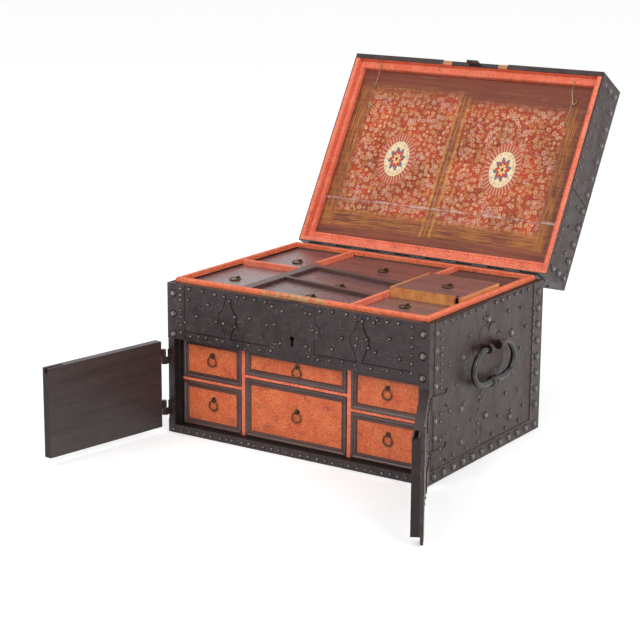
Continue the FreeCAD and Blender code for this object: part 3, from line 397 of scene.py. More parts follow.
door_wood = wood("dark door board", colour(38, 29, 28), colour(66, 52, 50), "XY", 0.42, 0.1, 0.7)
jamb_wood = wood("black stained board", colour(25, 19, 18), colour(45, 36, 34), "Y", 0.55, specular=0.3)
dark_wood = wood("dark stained wood", colour(66, 42, 40), colour(98, 68, 62), "X", 0.45, 0.1)
varnished = wood("red-brown varnished lid", colour(84, 46, 50), colour(130, 88, 90), "X", 0.30, 0.8, 0.2, 0.0022)
moulding_wood = wood("drawer moulding", colour(62, 37, 34), colour(104, 70, 62), "X", 0.36, 0.3)
pale_wood = wood("pale softwood", colour(190, 116, 62), colour(236, 172, 100), "Y", 0.5)
bare_wood = wood("bare worn wood", colour(166, 112, 74), colour(214, 162, 116), "X", 0.65)
old_oak = wood("old oak", colour(70, 50, 38), colour(112, 84, 60), "X", 0.7)
box_wood = wood("drawer box wood", colour(112, 84, 58), colour(150, 118, 84), "Y", 0.65)
print("materials:", len(bpy.data.materials))

# %% [markdown]
# ### Finishes on the frame's own pieces
#
# A piece whose solid is already right only needs its edges softened: Weld joins the loose
# triangles, Decimate clears the lines across flat faces, and Bevel rounds what is left. The plates
# are left sharp: they are sheared sheet, and where two of them meet edge to edge Weld would join
# them and Bevel would pull the joint out of line. The same goes for boards that butt together in
# one node, as in the lid's walls and the tills.


# %% Dress the frame's pieces
def dress(name, material, soften):
    piece = nodes[name]
    piece.data.materials.clear()
    piece.data.materials.append(material)
    if soften:
        weld = piece.modifiers.new("weld", "WELD")
        weld.merge_threshold = 0.00001
        clear = piece.modifiers.new("clear", "DECIMATE")
        clear.decimate_type = "DISSOLVE"
        clear.angle_limit = math.radians(1)
        rounder = piece.modifiers.new("round", "BEVEL")
        rounder.width = soften
        rounder.segments = 2
        rounder.limit_method = "ANGLE"
        rounder.angle_limit = math.radians(28)
    return piece


finishes = {
    "base_board": (jamb_wood, 0.001), "side_boards": (jamb_wood, 0), "back_board": (old_oak, 0.0006),
    "fascia_board": (old_oak, 0), "shelf_board": (old_oak, 0.0004),
    "shell_plates": (iron_plate, 0), "front_plates": (iron_front, 0),
    "rim_lip": (orange_rim, 0.0008), "painted_partitions": (orange, 0.0008),
    "plain_partitions": (dark_wood, 0), "drawer_frame": (orange, 0.0005),
    "lock_case": (iron_dark, 0), "lock_bolt": (iron_dark, 0.0003), "door_pins": (iron_plate, 0.0003),
    "handle_lugs": (iron_plate, 0.0004), "lid_hinge_body_leaf": (iron_dark, 0.0004),
    "lid_hinge_lid_leaf": (iron_dark, 0.0004), "body_studs": (iron_rubbed, 0.0006),
    "lid_studs": (iron_rubbed, 0.0006), "lid_boards": (orange, 0), "lid_plates": (iron_plate, 0),
    "lid_lining": (orange, 0.0004), "lid_strike": (iron_dark, 0.0005),
    "document_flap": (dark_wood, 0.0004), "catch_left": (pale_brass, 0), "catch_right": (pale_brass, 0),
    "door_left_board": (door_wood, 0.0003), "door_right_board": (door_wood, 0.0003),
    "door_left_iron": (iron_plate, 0.0004), "door_right_iron": (iron_plate, 0.0004),
    "handle_left": (iron_rubbed, 0), "handle_right": (iron_rubbed, 0),
    "till_middle": (dark_wood, 0), "till_right": (pale_wood, 0),
}
for name in nodes:
    if name in finishes:
        material, soften = finishes[name]
    elif name.startswith("lid_"):
        material, soften = varnished, 0.0008
    elif name.startswith("ring_"):
        material, soften = brass, 0
    else:
        material, soften = orange_panel, 0.0004
    dress(name, material, soften)

# %% [markdown]
# ## How new pieces are made
#
# Each new piece starts from a bmesh operator and is shaped by more of them. A wire or a forged bar
# is a circle that is extruded from place to place along its path, so its thickness can change on the way.


# %% Modelling helpers
def piece(name, mesh, materials, body, stands_for=(), finish=None, smooth=35):
    """Turn a bmesh into a named object that rides on a body."""
    bmesh.ops.recalc_face_normals(mesh, faces=mesh.faces)
    data = bpy.data.meshes.new(name)
    mesh.to_mesh(data)
    mesh.free()
    for material in materials:
        data.materials.append(material)
    if smooth:
        for face in data.polygons:
            face.use_smooth = True
        data.set_sharp_from_angle(angle=math.radians(smooth))
    made = bpy.data.objects.new(name, data)
    scene.collection.objects.link(made)
    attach(made, body)
    if stands_for:
        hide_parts(*stands_for)
    return made


def facing(point, axis, roll=0.0):
    """The matrix that stands a shape made along +Z at a point, along an axis."""
    return (Matrix.Translation(Vector(point)) @ Vector(axis).to_track_quat("Z", "Y").to_matrix().to_4x4()
            @ Matrix.Rotation(roll, 4, "Z"))


def walk(mesh, points, radii, sides=8, closed=False, up=(0, 0, 1)):
    """Extrude a circle along a path. The thickness is given at every point."""
    points = [Vector(p) for p in points]
    count = len(points)
    frames = []
    for i, point in enumerate(points):
        before = points[(i - 1) % count] if closed or i else point
        after = points[(i + 1) % count] if closed or i < count - 1 else point
        along = (after - before).normalized()
        side = along.cross(Vector(up)).normalized()
        turn = Matrix((side, along.cross(side), along)).transposed().to_4x4()
        frames.append(Matrix.Translation(point) @ turn @ Matrix.Scale(radii[i], 4))
    ring = bmesh.ops.create_circle(mesh, segments=sides, radius=1.0, cap_ends=not closed,
                                   matrix=frames[0])["verts"]
    first = list({e for v in ring for e in v.link_edges if all(w in ring for w in e.verts)})
    edges = first
    verts = ring
    for last, here in zip(frames, frames[1:]):
        grown = bmesh.ops.extrude_edge_only(mesh, edges=edges)["geom"]
        verts = [g for g in grown if isinstance(g, bmesh.types.BMVert)]
        edges = [g for g in grown if isinstance(g, bmesh.types.BMEdge) and
                 all(v in verts for v in g.verts)]
        bmesh.ops.transform(mesh, matrix=here @ last.inverted(), verts=verts)
    if closed:
        bmesh.ops.bridge_loops(mesh, edges=first + edges)
    else:
        bmesh.ops.contextual_create(mesh, geom=edges)


def smooth_path(knots, steps):
    """Points on a smooth curve through the knots."""
    knots = [Vector(k) for k in knots]
    ends = [2 * knots[0] - knots[1]] + knots + [2 * knots[-1] - knots[-2]]
    path = []
    for a, b, c, d in zip(ends, ends[1:], ends[2:], ends[3:]):
        for i in range(steps):
            t = i / steps
            path.append(0.5 * (2 * b + (c - a) * t + (2 * a - 5 * b + 4 * c - d) * t * t
                               + (3 * b - a - 3 * c + d) * t ** 3))
    return path + [knots[-1]]


def slab(mesh, low, high, material=0):
    """A box between two corners; gives back its faces."""
    low = Vector(low)
    high = Vector(high)
    middle = (low + high) / 2
    size = high - low
    made = bmesh.ops.create_cube(mesh, size=1.0, matrix=Matrix.Translation(middle)
                                 @ Matrix.Diagonal((size.x, size.y, size.z, 1)))["verts"]
    faces = list({f for v in made for f in v.link_faces})
    for face in faces:
        face.material_index = material
    return faces


def facing_face(faces, direction):
    return max(faces, key=lambda f: f.normal.dot(Vector(direction)))


def stepped(mesh, face, steps, material):
    """Inset a face again and again: each step gives how far in and how far out. The new rings get
    the material, and the face that is left in the middle keeps its own."""
    for inward, outward in steps:
        rings = bmesh.ops.inset_region(mesh, faces=[face], thickness=inward, depth=outward,
                                       use_even_offset=True, use_boundary=True)["faces"]
        for ring in rings:
            ring.material_index = material


def stamp(mesh, template, matrix):
    """Copy a template mesh into a bmesh at a place."""
    start = len(mesh.verts)
    mesh.from_mesh(template)
    mesh.verts.ensure_lookup_table()
    bmesh.ops.transform(mesh, matrix=matrix, verts=mesh.verts[start:])


def dome(radius, height, segments=8, rings=3):
    """A nail head: the top of a ball, squashed. Its foot stands at the origin in a thin ring of dirt
    and painted shade (material 1), and its crown is rubbed bright, partly as a painted highlight
    (material 2)."""
    mesh = bmesh.new()
    bmesh.ops.create_uvsphere(mesh, u_segments=segments, v_segments=2 * rings, radius=1.0)
    geometry = mesh.verts[:] + mesh.edges[:] + mesh.faces[:]
    bmesh.ops.bisect_plane(mesh, geom=geometry, plane_co=(0, 0, 0), plane_no=(0, 0, 1),
                           clear_inner=True)
    bmesh.ops.scale(mesh, vec=(radius, radius, height), verts=mesh.verts)
    # The top faces take the lighter crown: rubbed wear and a painted highlight.
    for face in mesh.faces:
        if face.calc_center_median().z > 0.8 * height:
            face.material_index = 2
    # The dark ring round the foot is dirt and painted shade where the nail meets the plate.
    ring = bmesh.ops.create_cone(mesh, cap_ends=True, segments=segments, radius1=radius * 1.26,
                                 radius2=radius * 1.16, depth=0.0002)["verts"]
    for face in {f for v in ring for f in v.link_faces}:
        face.material_index = 1
    data = bpy.data.meshes.new("nail head")
    mesh.to_mesh(data)
    mesh.free()
    return data


# %% [markdown]
# ## Six drawers
#
# A drawer is a tray of plain boards and a front, with a little slip under it so that it runs clear
# of the sill. The front's moulding is inset from its face step by step: a fillet, a round, a hollow
# and a bead, then the painted panel at the bottom.

# %% Drawers
moulding_steps = ((0.0002, 0.0024), (0.0012, 0.0011), (0.0022, 0.0), (0.0012, -0.0008),
                  (0.0008, -0.0010), (0.0012, 0.0), (0.0006, 0.0008), (0.0014, 0.0),
                  (0.0008, -0.0010), (0.0009, -0.0014))
tray_wall = 7 * MM
tray_floor = 5 * MM
slip = 0.3 * MM
drawer_names = [n for n in nodes if n.startswith("drawer_") and n != "drawer_frame"]


def ring_place(name):
    """Where a ring turns, which way it hangs, and how long and wide it is."""
    pivot = Vector(joints["ring_" + name + "_swing"]["pos_m"])
    axis = Vector(joints["ring_" + name + "_swing"]["axis"]).normalized()
    low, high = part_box("ring_" + name)
    middle = (low + high) / 2
    hang = middle - pivot
    hang -= axis * hang.dot(axis)
    return pivot, axis, hang.normalized(), 2 * hang.length


plate_mesh = bmesh.new()
bmesh.ops.create_cone(plate_mesh, cap_ends=True, segments=12, radius1=0.0055, radius2=0.0048, depth=0.001,
                      matrix=Matrix.Translation((0, 0, 0.0005)))
bmesh.ops.create_uvsphere(plate_mesh, u_segments=8, v_segments=5, radius=0.0022,
                          matrix=Matrix.Translation((0, 0, 0.0012)) @ Matrix.Diagonal((1, 1, 0.5, 1)))
eye_path = []
for i in range(9):
    angle = math.radians(-50 + 280 * i / 8)
    eye_path.append((0, 0.0019 * math.cos(angle), 0.0029 + 0.0019 * math.sin(angle)))
walk(plate_mesh, eye_path, [0.0008] * len(eye_path), 6, up=(1, 0, 0))
plate_template = bpy.data.meshes.new("pull plate")
plate_mesh.to_mesh(plate_template)
plate_mesh.free()


def add_pull(name, body, point, axis, hang):
    """A pull's plate and eye as a piece of its own, turned so that the ring hangs from it."""
    mesh = bmesh.new()
    side = Vector(hang).cross(Vector(axis))
    turn = Matrix((side, Vector(hang), Vector(axis))).transposed().to_4x4()
    stamp(mesh, plate_template, Matrix.Translation(point) @ turn)
    return piece(name, mesh, [brass], body, finish="ring_brass")


for name in drawer_names:
    low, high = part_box(name)
    low = Vector((low.x, low.y, low.z + slip))
    pivot, axis, hang, length = ring_place(name[7:])
    panel_y = pivot.y + 2.7 * MM
    mesh = bmesh.new()
    front = slab(mesh, (low.x, panel_y, low.z), (high.x, panel_y + 11 * MM, high.z))
    face = facing_face(front, (0, -1, 0))
    for other in front:
        other.material_index = 1
    face.material_index = 0
    stepped(mesh, face, moulding_steps, 1)
    tray = slab(mesh, (low.x, panel_y + 11 * MM, low.z), (high.x, high.y, high.z - 4 * MM), 2)
    top = facing_face(tray, (0, 0, 1))
    stepped(mesh, top, ((tray_wall, 0.0),), 2)
    stepped(mesh, top, ((0.0001, -(high.z - low.z - 4 * MM - tray_floor)),), 2)
    piece(name + "_fine", mesh, [orange_panel, moulding_wood, box_wood], name, [name],
          "painted_panel", 30)
    add_pull("pull_" + name[7:], name, Vector((pivot.x, panel_y, pivot.z)), (0, -1, 0), hang)

# %% [markdown]
# ## Rings
#
# The rings are bent from tapering wire and pear-shaped: narrow in the eye and wide below. Each
# hangs from the joint that turns it, so its place and its length come from the frame.

# %% Rings
for name in [n[5:] for n in nodes if n.startswith("ring_")]:
    pivot, axis, hang, length = ring_place(name)
    up = hang.cross(axis)
    points = []
    radii = []
    count = 22
    for i in range(count):
        angle = 2 * math.pi * i / count
        down = (1 - math.cos(angle)) / 2
        across = 0.0094 * math.sin(angle) * (0.72 + 0.3 * down)
        points.append(pivot + hang * (length * down) + axis * across)
        radii.append(0.0009 + 0.0004 * down)
    mesh = bmesh.new()
    walk(mesh, points, radii, 7, True, up)
    body = "ring_" + name
    piece(body + "_fine", mesh, [brass], body, [body], "ring_brass", 60)

# %% [markdown]
# ## Nails
#
# The frame has every large nail as a small six-sided cone. Here each becomes a forged dome with a
# few dozen faces, and a finer row of small nails goes in between, as on the real plates.


# %% Large nails
def islands(thing):
    """The points of each separate solid of a node."""
    mesh = bmesh.new()
    mesh.from_mesh(thing.data)
    bmesh.ops.remove_doubles(mesh, verts=mesh.verts, dist=0.00001)
    left = set(mesh.verts)
    found = []
    while left:
        stack = [left.pop()]
        members = []
        while stack:
            vert = stack.pop()
            members.append(vert.co.copy())
            for edge in vert.link_edges:
                other = edge.other_vert(vert)
                if other in left:
                    left.remove(other)
                    stack.append(other)
        found.append(members)
    mesh.free()
    return found


dice = random.Random(7)
big_nail = dome(6.0 * MM, 3.3 * MM, 10, 3)
small_nail = dome(2.8 * MM, 2.1 * MM, 8, 3)


def cone_place(points):
    """Foot and axis of one six-sided cone: the wide ring is the foot."""
    middle = sum(points, Vector()) / len(points)
    far = sorted(points, key=lambda p: -(p - middle).length)
    wide = far[:len(far) // 2]
    narrow = far[len(far) // 2:]
    foot = sum(wide, Vector()) / len(wide)
    head = sum(narrow, Vector()) / len(narrow)
    return foot, (head - foot).normalized()


def nails(name, node_name, body):
    mesh = bmesh.new()
    for points in islands(nodes[node_name]):
        foot, axis = cone_place(points)
        size = dice.uniform(0.92, 1.06)
        matrix = facing(foot, axis, dice.uniform(0, 6)) @ Matrix.Diagonal((size, size, 1, 1))
        stamp(mesh, big_nail, matrix)
    return piece(name, mesh, [iron_rubbed, dirt_and_shade, crown_wear_and_highlight], body, [node_name], "iron_fitting", 50)


nails("body_nails", "body_studs", "root")
nails("lid_nails", "lid_studs", "lid")

# %% [markdown]
# Small nails sit where the photo shows them on the front and the right side. The left side gets
# the right side's, and the back and the lid get even rows.

# %% Small nails
front_spots = [
    (-222.5, 249.6), (-222.5, 239), (-222.5, 231), (-222.5, 213), (-222.5, 202), (-222.5, 188),
    (-222.5, 175.5), (-205, 251), (-178, 250.6), (-153, 249), (-134, 248), (-108, 251), (-94, 252),
    (-74, 251), (-53, 250.5), (-40, 245), (-21, 240), (-207, 233), (-167, 230), (-190, 207),
    (-213, 194), (-124, 242), (-150, 204), (-136, 203), (-113, 217), (-113, 201), (-84, 219),
    (-50, 213), (-36, 216), (-61, 191), (-33.5, 184), (-24, 187), (-64, 170), (-42, 172), (-86, 174),
    (-107, 170), (-203, 171.5), (-186, 174), (-171, 174), (-149, 174), (-137.5, 173), (24, 243),
    (33, 243), (51, 250), (74, 252), (100, 252), (117, 250), (140, 251), (156, 250.6), (174, 250),
    (194, 251), (218, 249), (218.5, 232), (218.5, 218), (218.5, 204), (218.5, 191), (37, 217),
    (46, 215), (92, 213), (129, 245), (150, 246), (120, 216), (137, 217), (118, 205), (141, 204),
    (153.5, 199), (179, 224), (197, 195), (74, 192), (25, 189), (33, 185.5), (30.5, 173), (48, 171),
    (70, 173), (93, 175), (117, 173), (146, 172), (176, 173), (200, 173), (219, 176)]
side_spots = [(154, z) for z in (214, 199, 188, 176, 164, 147, 132, 120, 109, 98, 83, 70, 61, 45)]
side_spots += [(-152, z) for z in (36, 52, 66, 96, 108, 150, 163, 175, 188, 202, 214, 227, 240)]
side_spots += [(y, 251) for y in (-21, -42, -65, -86, -105, -123, -145, 20, 41, 63, 88, 110, 132)]
side_spots += [(108, 225), (65, 228), (128, 189), (109, 156), (-64, 214), (-128, 180), (-103, 144),
               (-78, 107), (-123, 106), (-32, 107), (62, 90), (107, 86), (84, 55), (126, 54), (40, 57),
               (-52, 74), (-98, 70), (85, 121), (-143, 70), (-17, 232), (-22, 112), (-25, 98), (-27, 84),
               (-30, 62), (-31, 48), (-26, 30), (66, 30), (20, 31), (-66, 30), (-110, 31), (112, 31)]
proud = 0.9 * MM


def small_nails(mesh, spots, to_point, axis):
    for a, b in spots:
        size = dice.uniform(0.85, 1.1)
        matrix = facing(to_point(a * MM, b * MM), axis, dice.uniform(0, 6))
        stamp(mesh, small_nail, matrix @ Matrix.Diagonal((size, size, 1, 1)))


mesh = bmesh.new()
small_nails(mesh, front_spots, lambda a, b: (a, -half_d - proud, b), (0, -1, 0))
sill_spots = [(x + dice.uniform(-3, 3), 6.5 + dice.uniform(-1, 1)) for x in range(-238, 240, 15)]
small_nails(mesh, sill_spots, lambda a, b: (a, -half_d, b), (0, -1, 0))
for side in (-1, 1):
    small_nails(mesh, side_spots, lambda a, b: (side * (half_w + 0.5 * MM), a, b), (side, 0, 0))
back_spots = [(x, z) for x in range(-205, 206, 41) for z in (24, 66, 108, 150, 192)]
back_spots = [(x + dice.uniform(-6, 6), z + dice.uniform(-5, 5)) for x, z in back_spots]
small_nails(mesh, back_spots, lambda a, b: (a, half_d, b), (0, 1, 0))
piece("body_small_nails", mesh, [iron_rubbed, dirt_and_shade, crown_wear_and_highlight], "root", finish="iron_fitting", smooth=50)

mesh = bmesh.new()
lid_low = body_top / MM
lid_high = lid_low + 82.3
turned = lid_turn.to_3x3()


def lid_point(x, y, z):
    return lid_turn @ Vector((x, y, z))


for side in (-1, 1):
    spots = [(y + dice.uniform(-2, 2), lid_low + 10) for y in range(-165, 170, 22)]
    spots += [(y + dice.uniform(-6, 6), lid_low + 40 + dice.uniform(-9, 9)) for y in range(-140, 150, 46)]
    spots += [(y + dice.uniform(-2, 2), lid_high - 6) for y in range(-154, 160, 22)]
    small_nails(mesh, spots, lambda a, b: lid_point(side * half_w, a, b), turned @ Vector((side, 0, 0)))
for face in (-1, 1):
    spots = [(x + dice.uniform(-2, 2), lid_high - 12) for x in range(-225, 226, 25)]
    spots += [(x + dice.uniform(-8, 8), lid_low + 56) for x in range(-200, 201, 50)]
    if face < 0:
        spots += [(x + dice.uniform(-2, 2), lid_low + 12) for x in range(-225, 226, 25) if abs(x) > 68]
    small_nails(mesh, spots, lambda a, b: lid_point(a, face * half_d, b), turned @ Vector((0, face, 0)))
spots = [(x + dice.uniform(-7, 7), y + dice.uniform(-7, 7)) for x in range(-204, 205, 34)
         for y in range(-136, 137, 34)]
spots += [(x, y) for x in range(-232, 233, 29) for y in (-179, 179)]
small_nails(mesh, spots, lambda a, b: lid_point(a, b, lid_high * MM), turned @ Vector((0, 0, 1)))
piece("lid_small_nails", mesh, [iron_rubbed, dirt_and_shade, crown_wear_and_highlight], "lid", finish="iron_fitting", smooth=50)

# %% [markdown]
# ## Bail handles
#
# Each handle is forged from one bar: thin where it passes through the lugs, thicker toward the grip,
# with two rings turned in the middle of the grip.

# %% Handles
handle_knots = ((11.5, 0), (25, 0), (39, 0.5), (55, -7.3), (67, -28), (56.3, -48.2), (33.5, -55.4), (14, -56))
for side, name in ((1, "right"), (-1, "left")):
    pivot = Vector(joints["handle_" + name + "_swing"]["pos_m"])
    half = smooth_path([(0, y, z) for y, z in handle_knots], 5)
    half = [p * MM for p in half]
    radii = []
    for i in range(len(half)):
        part = i / (len(half) - 1)
        radii.append((4.2 + 1.4 * min(1, part * 1.15) ** 2) * MM)
    for y, r in ((9.0, 5.7), (8.4, 7.4), (6.8, 8.7), (4.4, 8.9), (2.6, 7.8), (1.6, 6.4), (0.0, 6.2)):
        half.append(Vector((0, y, -56)) * MM)
        radii.append(r * MM)
    other = [Vector((0, -p.y, p.z)) for p in reversed(half[:-1])]
    mesh = bmesh.new()
    path = [pivot + p for p in half + other]
    walk(mesh, path, radii + list(reversed(radii[:-1])), 14, up=(1, 0, 0))
    piece("bail_" + name, mesh, [iron_forged], "handle_" + name, ["handle_" + name], "iron_fitting", 60)

# %% [markdown]
# ## Seams
#
# The side plates overlap in a ragged line from top to bottom. A thin second sheet with a
# wandering edge stands for the upper plate.


# %% Overlapping sheets
def sheet(mesh, outline, to_point, axis, thickness):
    """A flat sheet from its outline, given thickness by extruding."""
    verts = [mesh.verts.new(to_point(a * MM, b * MM)) for a, b in outline]
    face = bmesh.ops.contextual_create(mesh, geom=verts)["faces"]
    grown = bmesh.ops.extrude_face_region(mesh, geom=face)["geom"]
    verts = [g for g in grown if isinstance(g, bmesh.types.BMVert)]
    bmesh.ops.translate(mesh, vec=Vector(axis) * thickness, verts=verts)


def ragged(start, end, steps, wander):
    """Points from start to end that wander a little to each side."""
    a = Vector(start)
    b = Vector(end)
    line = []
    for i in range(steps + 1):
        t = i / steps
        shift = 0 if i in (0, steps) else dice.uniform(-wander, wander)
        line.append((a.x + (b.x - a.x) * t + shift, a.y + (b.y - a.y) * t))
    return line


mesh = bmesh.new()
seam = ragged((-20, 22.5), (-16, 120), 8, 2.5) + ragged((-14, 132), (-9, 256), 9, 2.0)
for side in (-1, 1):
    outline = [(-172, 22.5)] + seam + [(-172, 256)]
    sheet(mesh, outline, lambda a, b: (side * half_w, a, b), (side, 0, 0), 0.5 * MM)
outline = [(-228, 12)] + ragged((30, 12), (18, 212), 12, 3.0) + [(-228, 212)]
sheet(mesh, outline, lambda a, b: (a, half_d, b), (0, 1, 0), 0.5 * MM)
piece("body_overlaps", mesh, [iron_plate], "root", finish="iron_plate", smooth=0)

mesh = bmesh.new()
seam = ragged((26, lid_low + 1), (34, lid_high - 1), 6, 2.0)
for side in (-1, 1):
    outline = [(-184, lid_low + 1)] + seam + [(-184, lid_high - 1)]
    sheet(mesh, outline, lambda a, b: lid_point(side * half_w, a, b), turned @ Vector((side, 0, 0)), 0.4 * MM)
outline = [(-247, -184)] + ragged((-12, -184), (8, 184), 12, 3.0) + [(-247, 184)]
sheet(mesh, outline, lambda a, b: lid_point(a, b, lid_high * MM), turned @ Vector((0, 0, 1)), 0.5 * MM)
piece("lid_overlaps", mesh, [iron_plate], "lid", finish="iron_plate", smooth=0)

# %% [markdown]
# ## The lining of the lid
#
# The panel and the flap are covered with printed paper: two fields of small flowers on red, with
# ochre stripes round them and brown varnished margins. The print is one shader, in millimetres of
# the closed lid, so it runs on across the crease between panel and flap.


# %% Printed paper
def window(tree, x, y, left, right, front, back, soft):
    """1 inside a rectangle and 0 outside, with soft edges."""
    edges = [maths(tree, "SUBTRACT", x, left), maths(tree, "SUBTRACT", right, x),
             maths(tree, "SUBTRACT", y, front), maths(tree, "SUBTRACT", back, y)]
    near = edges[0]
    for edge in edges[1:]:
        near = maths(tree, "MINIMUM", near, edge)
    return maths(tree, "DIVIDE", near, soft, True)


def flowers(tree, vector, pitch, petals, size):
    """Small flowers, one in each cell of a jittered pattern. Gives mask, heart, eye and a random
    number for each flower."""
    cells = node(tree, "TexVoronoi", {"Vector": vector, "Scale": 1 / pitch, "Randomness": 0.72})
    chance = node(tree, "SeparateXYZ", {"Vector": cells.outputs["Color"]}).outputs[0]
    grown = maths(tree, "MULTIPLY_ADD", chance, size * 0.45)
    grown.node.inputs[2].default_value = size * 0.72
    local = node(tree, "VectorMath", operation="SUBTRACT")
    tree.links.new(vector, local.inputs[0])
    tree.links.new(cells.outputs["Position"], local.inputs[1])
    parts = node(tree, "SeparateXYZ", {"Vector": local.outputs[0]})
    angle = maths(tree, "ARCTAN2", parts.outputs[1], parts.outputs[0])
    wave = maths(tree, "COSINE", maths(tree, "MULTIPLY", angle, petals))
    reach = maths(tree, "ADD", grown, maths(tree, "MULTIPLY", wave, size * 0.11))
    edge = maths(tree, "SUBTRACT", reach, cells.outputs["Distance"])
    mask = maths(tree, "MULTIPLY", edge, 14.0, True)
    heart = maths(tree, "MULTIPLY", maths(tree, "SUBTRACT", edge, size * 0.36), 16.0, True)
    eye = maths(tree, "MULTIPLY", maths(tree, "SUBTRACT", edge, size * 0.68), 16.0, True)
    return mask, heart, eye, chance


def streaked(tree, vector, scale, along, low, high):
    """Streaks that run along one axis, as 0 to 1."""
    squeeze = (0.04, 1, 1) if along == "X" else (1, 0.04, 1)
    where = node(tree, "Mapping", {"Vector": vector, "Scale": squeeze}).outputs[0]
    return ramp(tree, noise(tree, where, scale, 5.0, 0.65), (low, 0.0), (high, 1.0))


def printed_paper():
    material, tree, shader = plain_material("printed paper")
    uv = node(tree, "UVMap", uv_map="UVMap").outputs[0]
    wobble = node(tree, "TexNoise", {"Vector": uv, "Scale": 70.0, "Detail": 3.0}).outputs[1]
    shift = node(tree, "VectorMath", operation="SCALE")
    tree.links.new(wobble, shift.inputs[0])
    shift.inputs["Scale"].default_value = 0.005
    moved = node(tree, "VectorMath", operation="ADD")
    tree.links.new(uv, moved.inputs[0])
    tree.links.new(shift.outputs[0], moved.inputs[1])
    vector = moved.outputs[0]
    parts = node(tree, "SeparateXYZ", {"Vector": vector})
    x = maths(tree, "MULTIPLY", parts.outputs[0], 1000.0)
    y = maths(tree, "MULTIPLY", parts.outputs[1], 1000.0)

    clouds = noise(tree, uv, 15.0, 6.0, 0.65)
    worn = noise(tree, uv, 38.0, 8.0, 0.74)
    ground = mix(tree, ramp(tree, clouds, (0.35, 0.0), (0.65, 1.0)), colour(196, 52, 36), colour(140, 36, 28))
    vines = noise(tree, vector, 210.0, 2.0, 0.5, 1.4)
    vine = maths(tree, "SUBTRACT", 1.0,
                 maths(tree, "MULTIPLY", maths(tree, "ABSOLUTE", maths(tree, "SUBTRACT", vines, 0.5)), 22.0), True)
    print_colour = mix(tree, vine, ground, colour(166, 112, 48))
    mask, heart, eye, chance = flowers(tree, vector, 0.0046, 5, 0.26)
    print_colour = mix(tree, mask, print_colour, colour(208, 148, 88))
    mask, heart, eye, chance = flowers(tree, vector, 0.0093, 7, 0.49)
    tint = ramp(tree, chance, (0.1, colour(216, 150, 100)), (0.4, colour(232, 188, 142)),
                (0.62, colour(198, 142, 66)), (0.85, colour(216, 168, 148)))
    petals = mix(tree, heart, tint, colour(172, 74, 54))
    petals = mix(tree, eye, petals, colour(244, 214, 172))
    print_colour = mix(tree, maths(tree, "MULTIPLY", mask, ramp(tree, worn, (0.34, 0.25), (0.5, 0.95))),
                       print_colour, petals)

    grain = streaked(tree, uv, 190.0, "X", 0.3, 0.7)
    margin = mix(tree, grain, colour(86, 38, 28), colour(158, 84, 56))
    ochre = colour(190, 124, 52)
    upright = streaked(tree, uv, 560.0, "Y", 0.46, 0.56)
    level = streaked(tree, uv, 480.0, "X", 0.46, 0.58)
    sides = maths(tree, "MAXIMUM", window(tree, x, y, -229, -200, -132, 150, 7.0),
                  window(tree, x, y, 200, 226, -126, 150, 7.0))
    centre = window(tree, x, y, -20, -14, -126, 148, 2.0)
    for near, far in ((-10, -6), (-2, 5)):
        centre = maths(tree, "MAXIMUM", centre, window(tree, x, y, near, far, -126, 148, 2.0))
    foot = window(tree, x, y, -229, 226, 108, 150, 8.0)
    head = maths(tree, "MULTIPLY", window(tree, x, y, -226, -60, -142, -108, 8.0), 0.8)
    left = window(tree, x, y, -208, -8, -134, 126, 14.0)
    right = window(tree, x, y, -10, 208, -122, 126, 14.0)
    inside = maths(tree, "MAXIMUM", left, right)
    inside = maths(tree, "MULTIPLY", inside, ramp(tree, worn, (0.30, 0.2), (0.40, 1.0)))
    base = mix(tree, inside, margin, print_colour)
    base = mix(tree, maths(tree, "MULTIPLY", sides, maths(tree, "MULTIPLY", upright, 0.8)), base, ochre)
    base = mix(tree, maths(tree, "MULTIPLY", maths(tree, "MAXIMUM", foot, head),
                           maths(tree, "MULTIPLY", level, 0.75)), base, ochre)
    base = mix(tree, maths(tree, "MULTIPLY", centre, ramp(tree, upright, (0.1, 0.25), (0.6, 0.95))), base,
               colour(200, 146, 62))
    dark = ramp(tree, noise(tree, uv, 8.0, 6.0, 0.65), (0.36, 1.0), (0.66, 0.72))
    base = mix(tree, 1.0, base, dark, "MULTIPLY")
    brown = maths(tree, "MULTIPLY", window(tree, x, y, -300, 300, -400, -92, 52.0), 0.66)
    base = mix(tree, brown, base, colour(116, 58, 42))
    crease_line = maths(tree, "SUBTRACT", 1.0, maths(tree, "MULTIPLY", maths(
        tree, "ABSOLUTE", maths(tree, "SUBTRACT", y, 93.5)), 0.28), True)
    scuffs = maths(tree, "MULTIPLY", crease_line, ramp(tree, worn, (0.42, 0.1), (0.58, 0.9)))
    marks = streaked(tree, uv, 640.0, "X", 0.64, 0.69)
    scuffs = maths(tree, "MAXIMUM", scuffs, maths(tree, "MULTIPLY", marks, 0.6))
    base = mix(tree, scuffs, base, colour(200, 170, 164))
    tree.links.new(base, shader.inputs["Base Color"])
    shader.inputs["Roughness"].default_value = 0.45
    shader.inputs["Specular IOR Level"].default_value = 0.25
    relief = bump(tree, grain, 0.0004, 0.5)
    tree.links.new(bump(tree, worn, 0.0006, 0.4, relief), shader.inputs["Normal"])
    return material


paper = printed_paper()
panel_x = 232.6
panel_z = lid_low + 0.3 + 20.0
crease = half_d / MM - 93.0


def lid_sheet(name, low_y, high_y, body):
    """Paper on part of the panel, drawn on the closed lid and turned with it."""
    mesh = bmesh.new()
    slab(mesh, (-panel_x * MM, low_y * MM, (panel_z - 0.3) * MM), (panel_x * MM, high_y * MM, panel_z * MM))
    layer = mesh.loops.layers.uv.new("UVMap")
    for face in mesh.faces:
        for loop in face.loops:
            loop[layer].uv = (loop.vert.co.x, loop.vert.co.y)
    bmesh.ops.transform(mesh, matrix=lid_turn, verts=mesh.verts)
    return piece(name, mesh, [paper], body, finish="painted_panel", smooth=0)


lid_sheet("panel_paper", crease + 0.4, 163.0, "lid")
lid_sheet("flap_paper", -163.0, crease - 0.1, "document_flap")


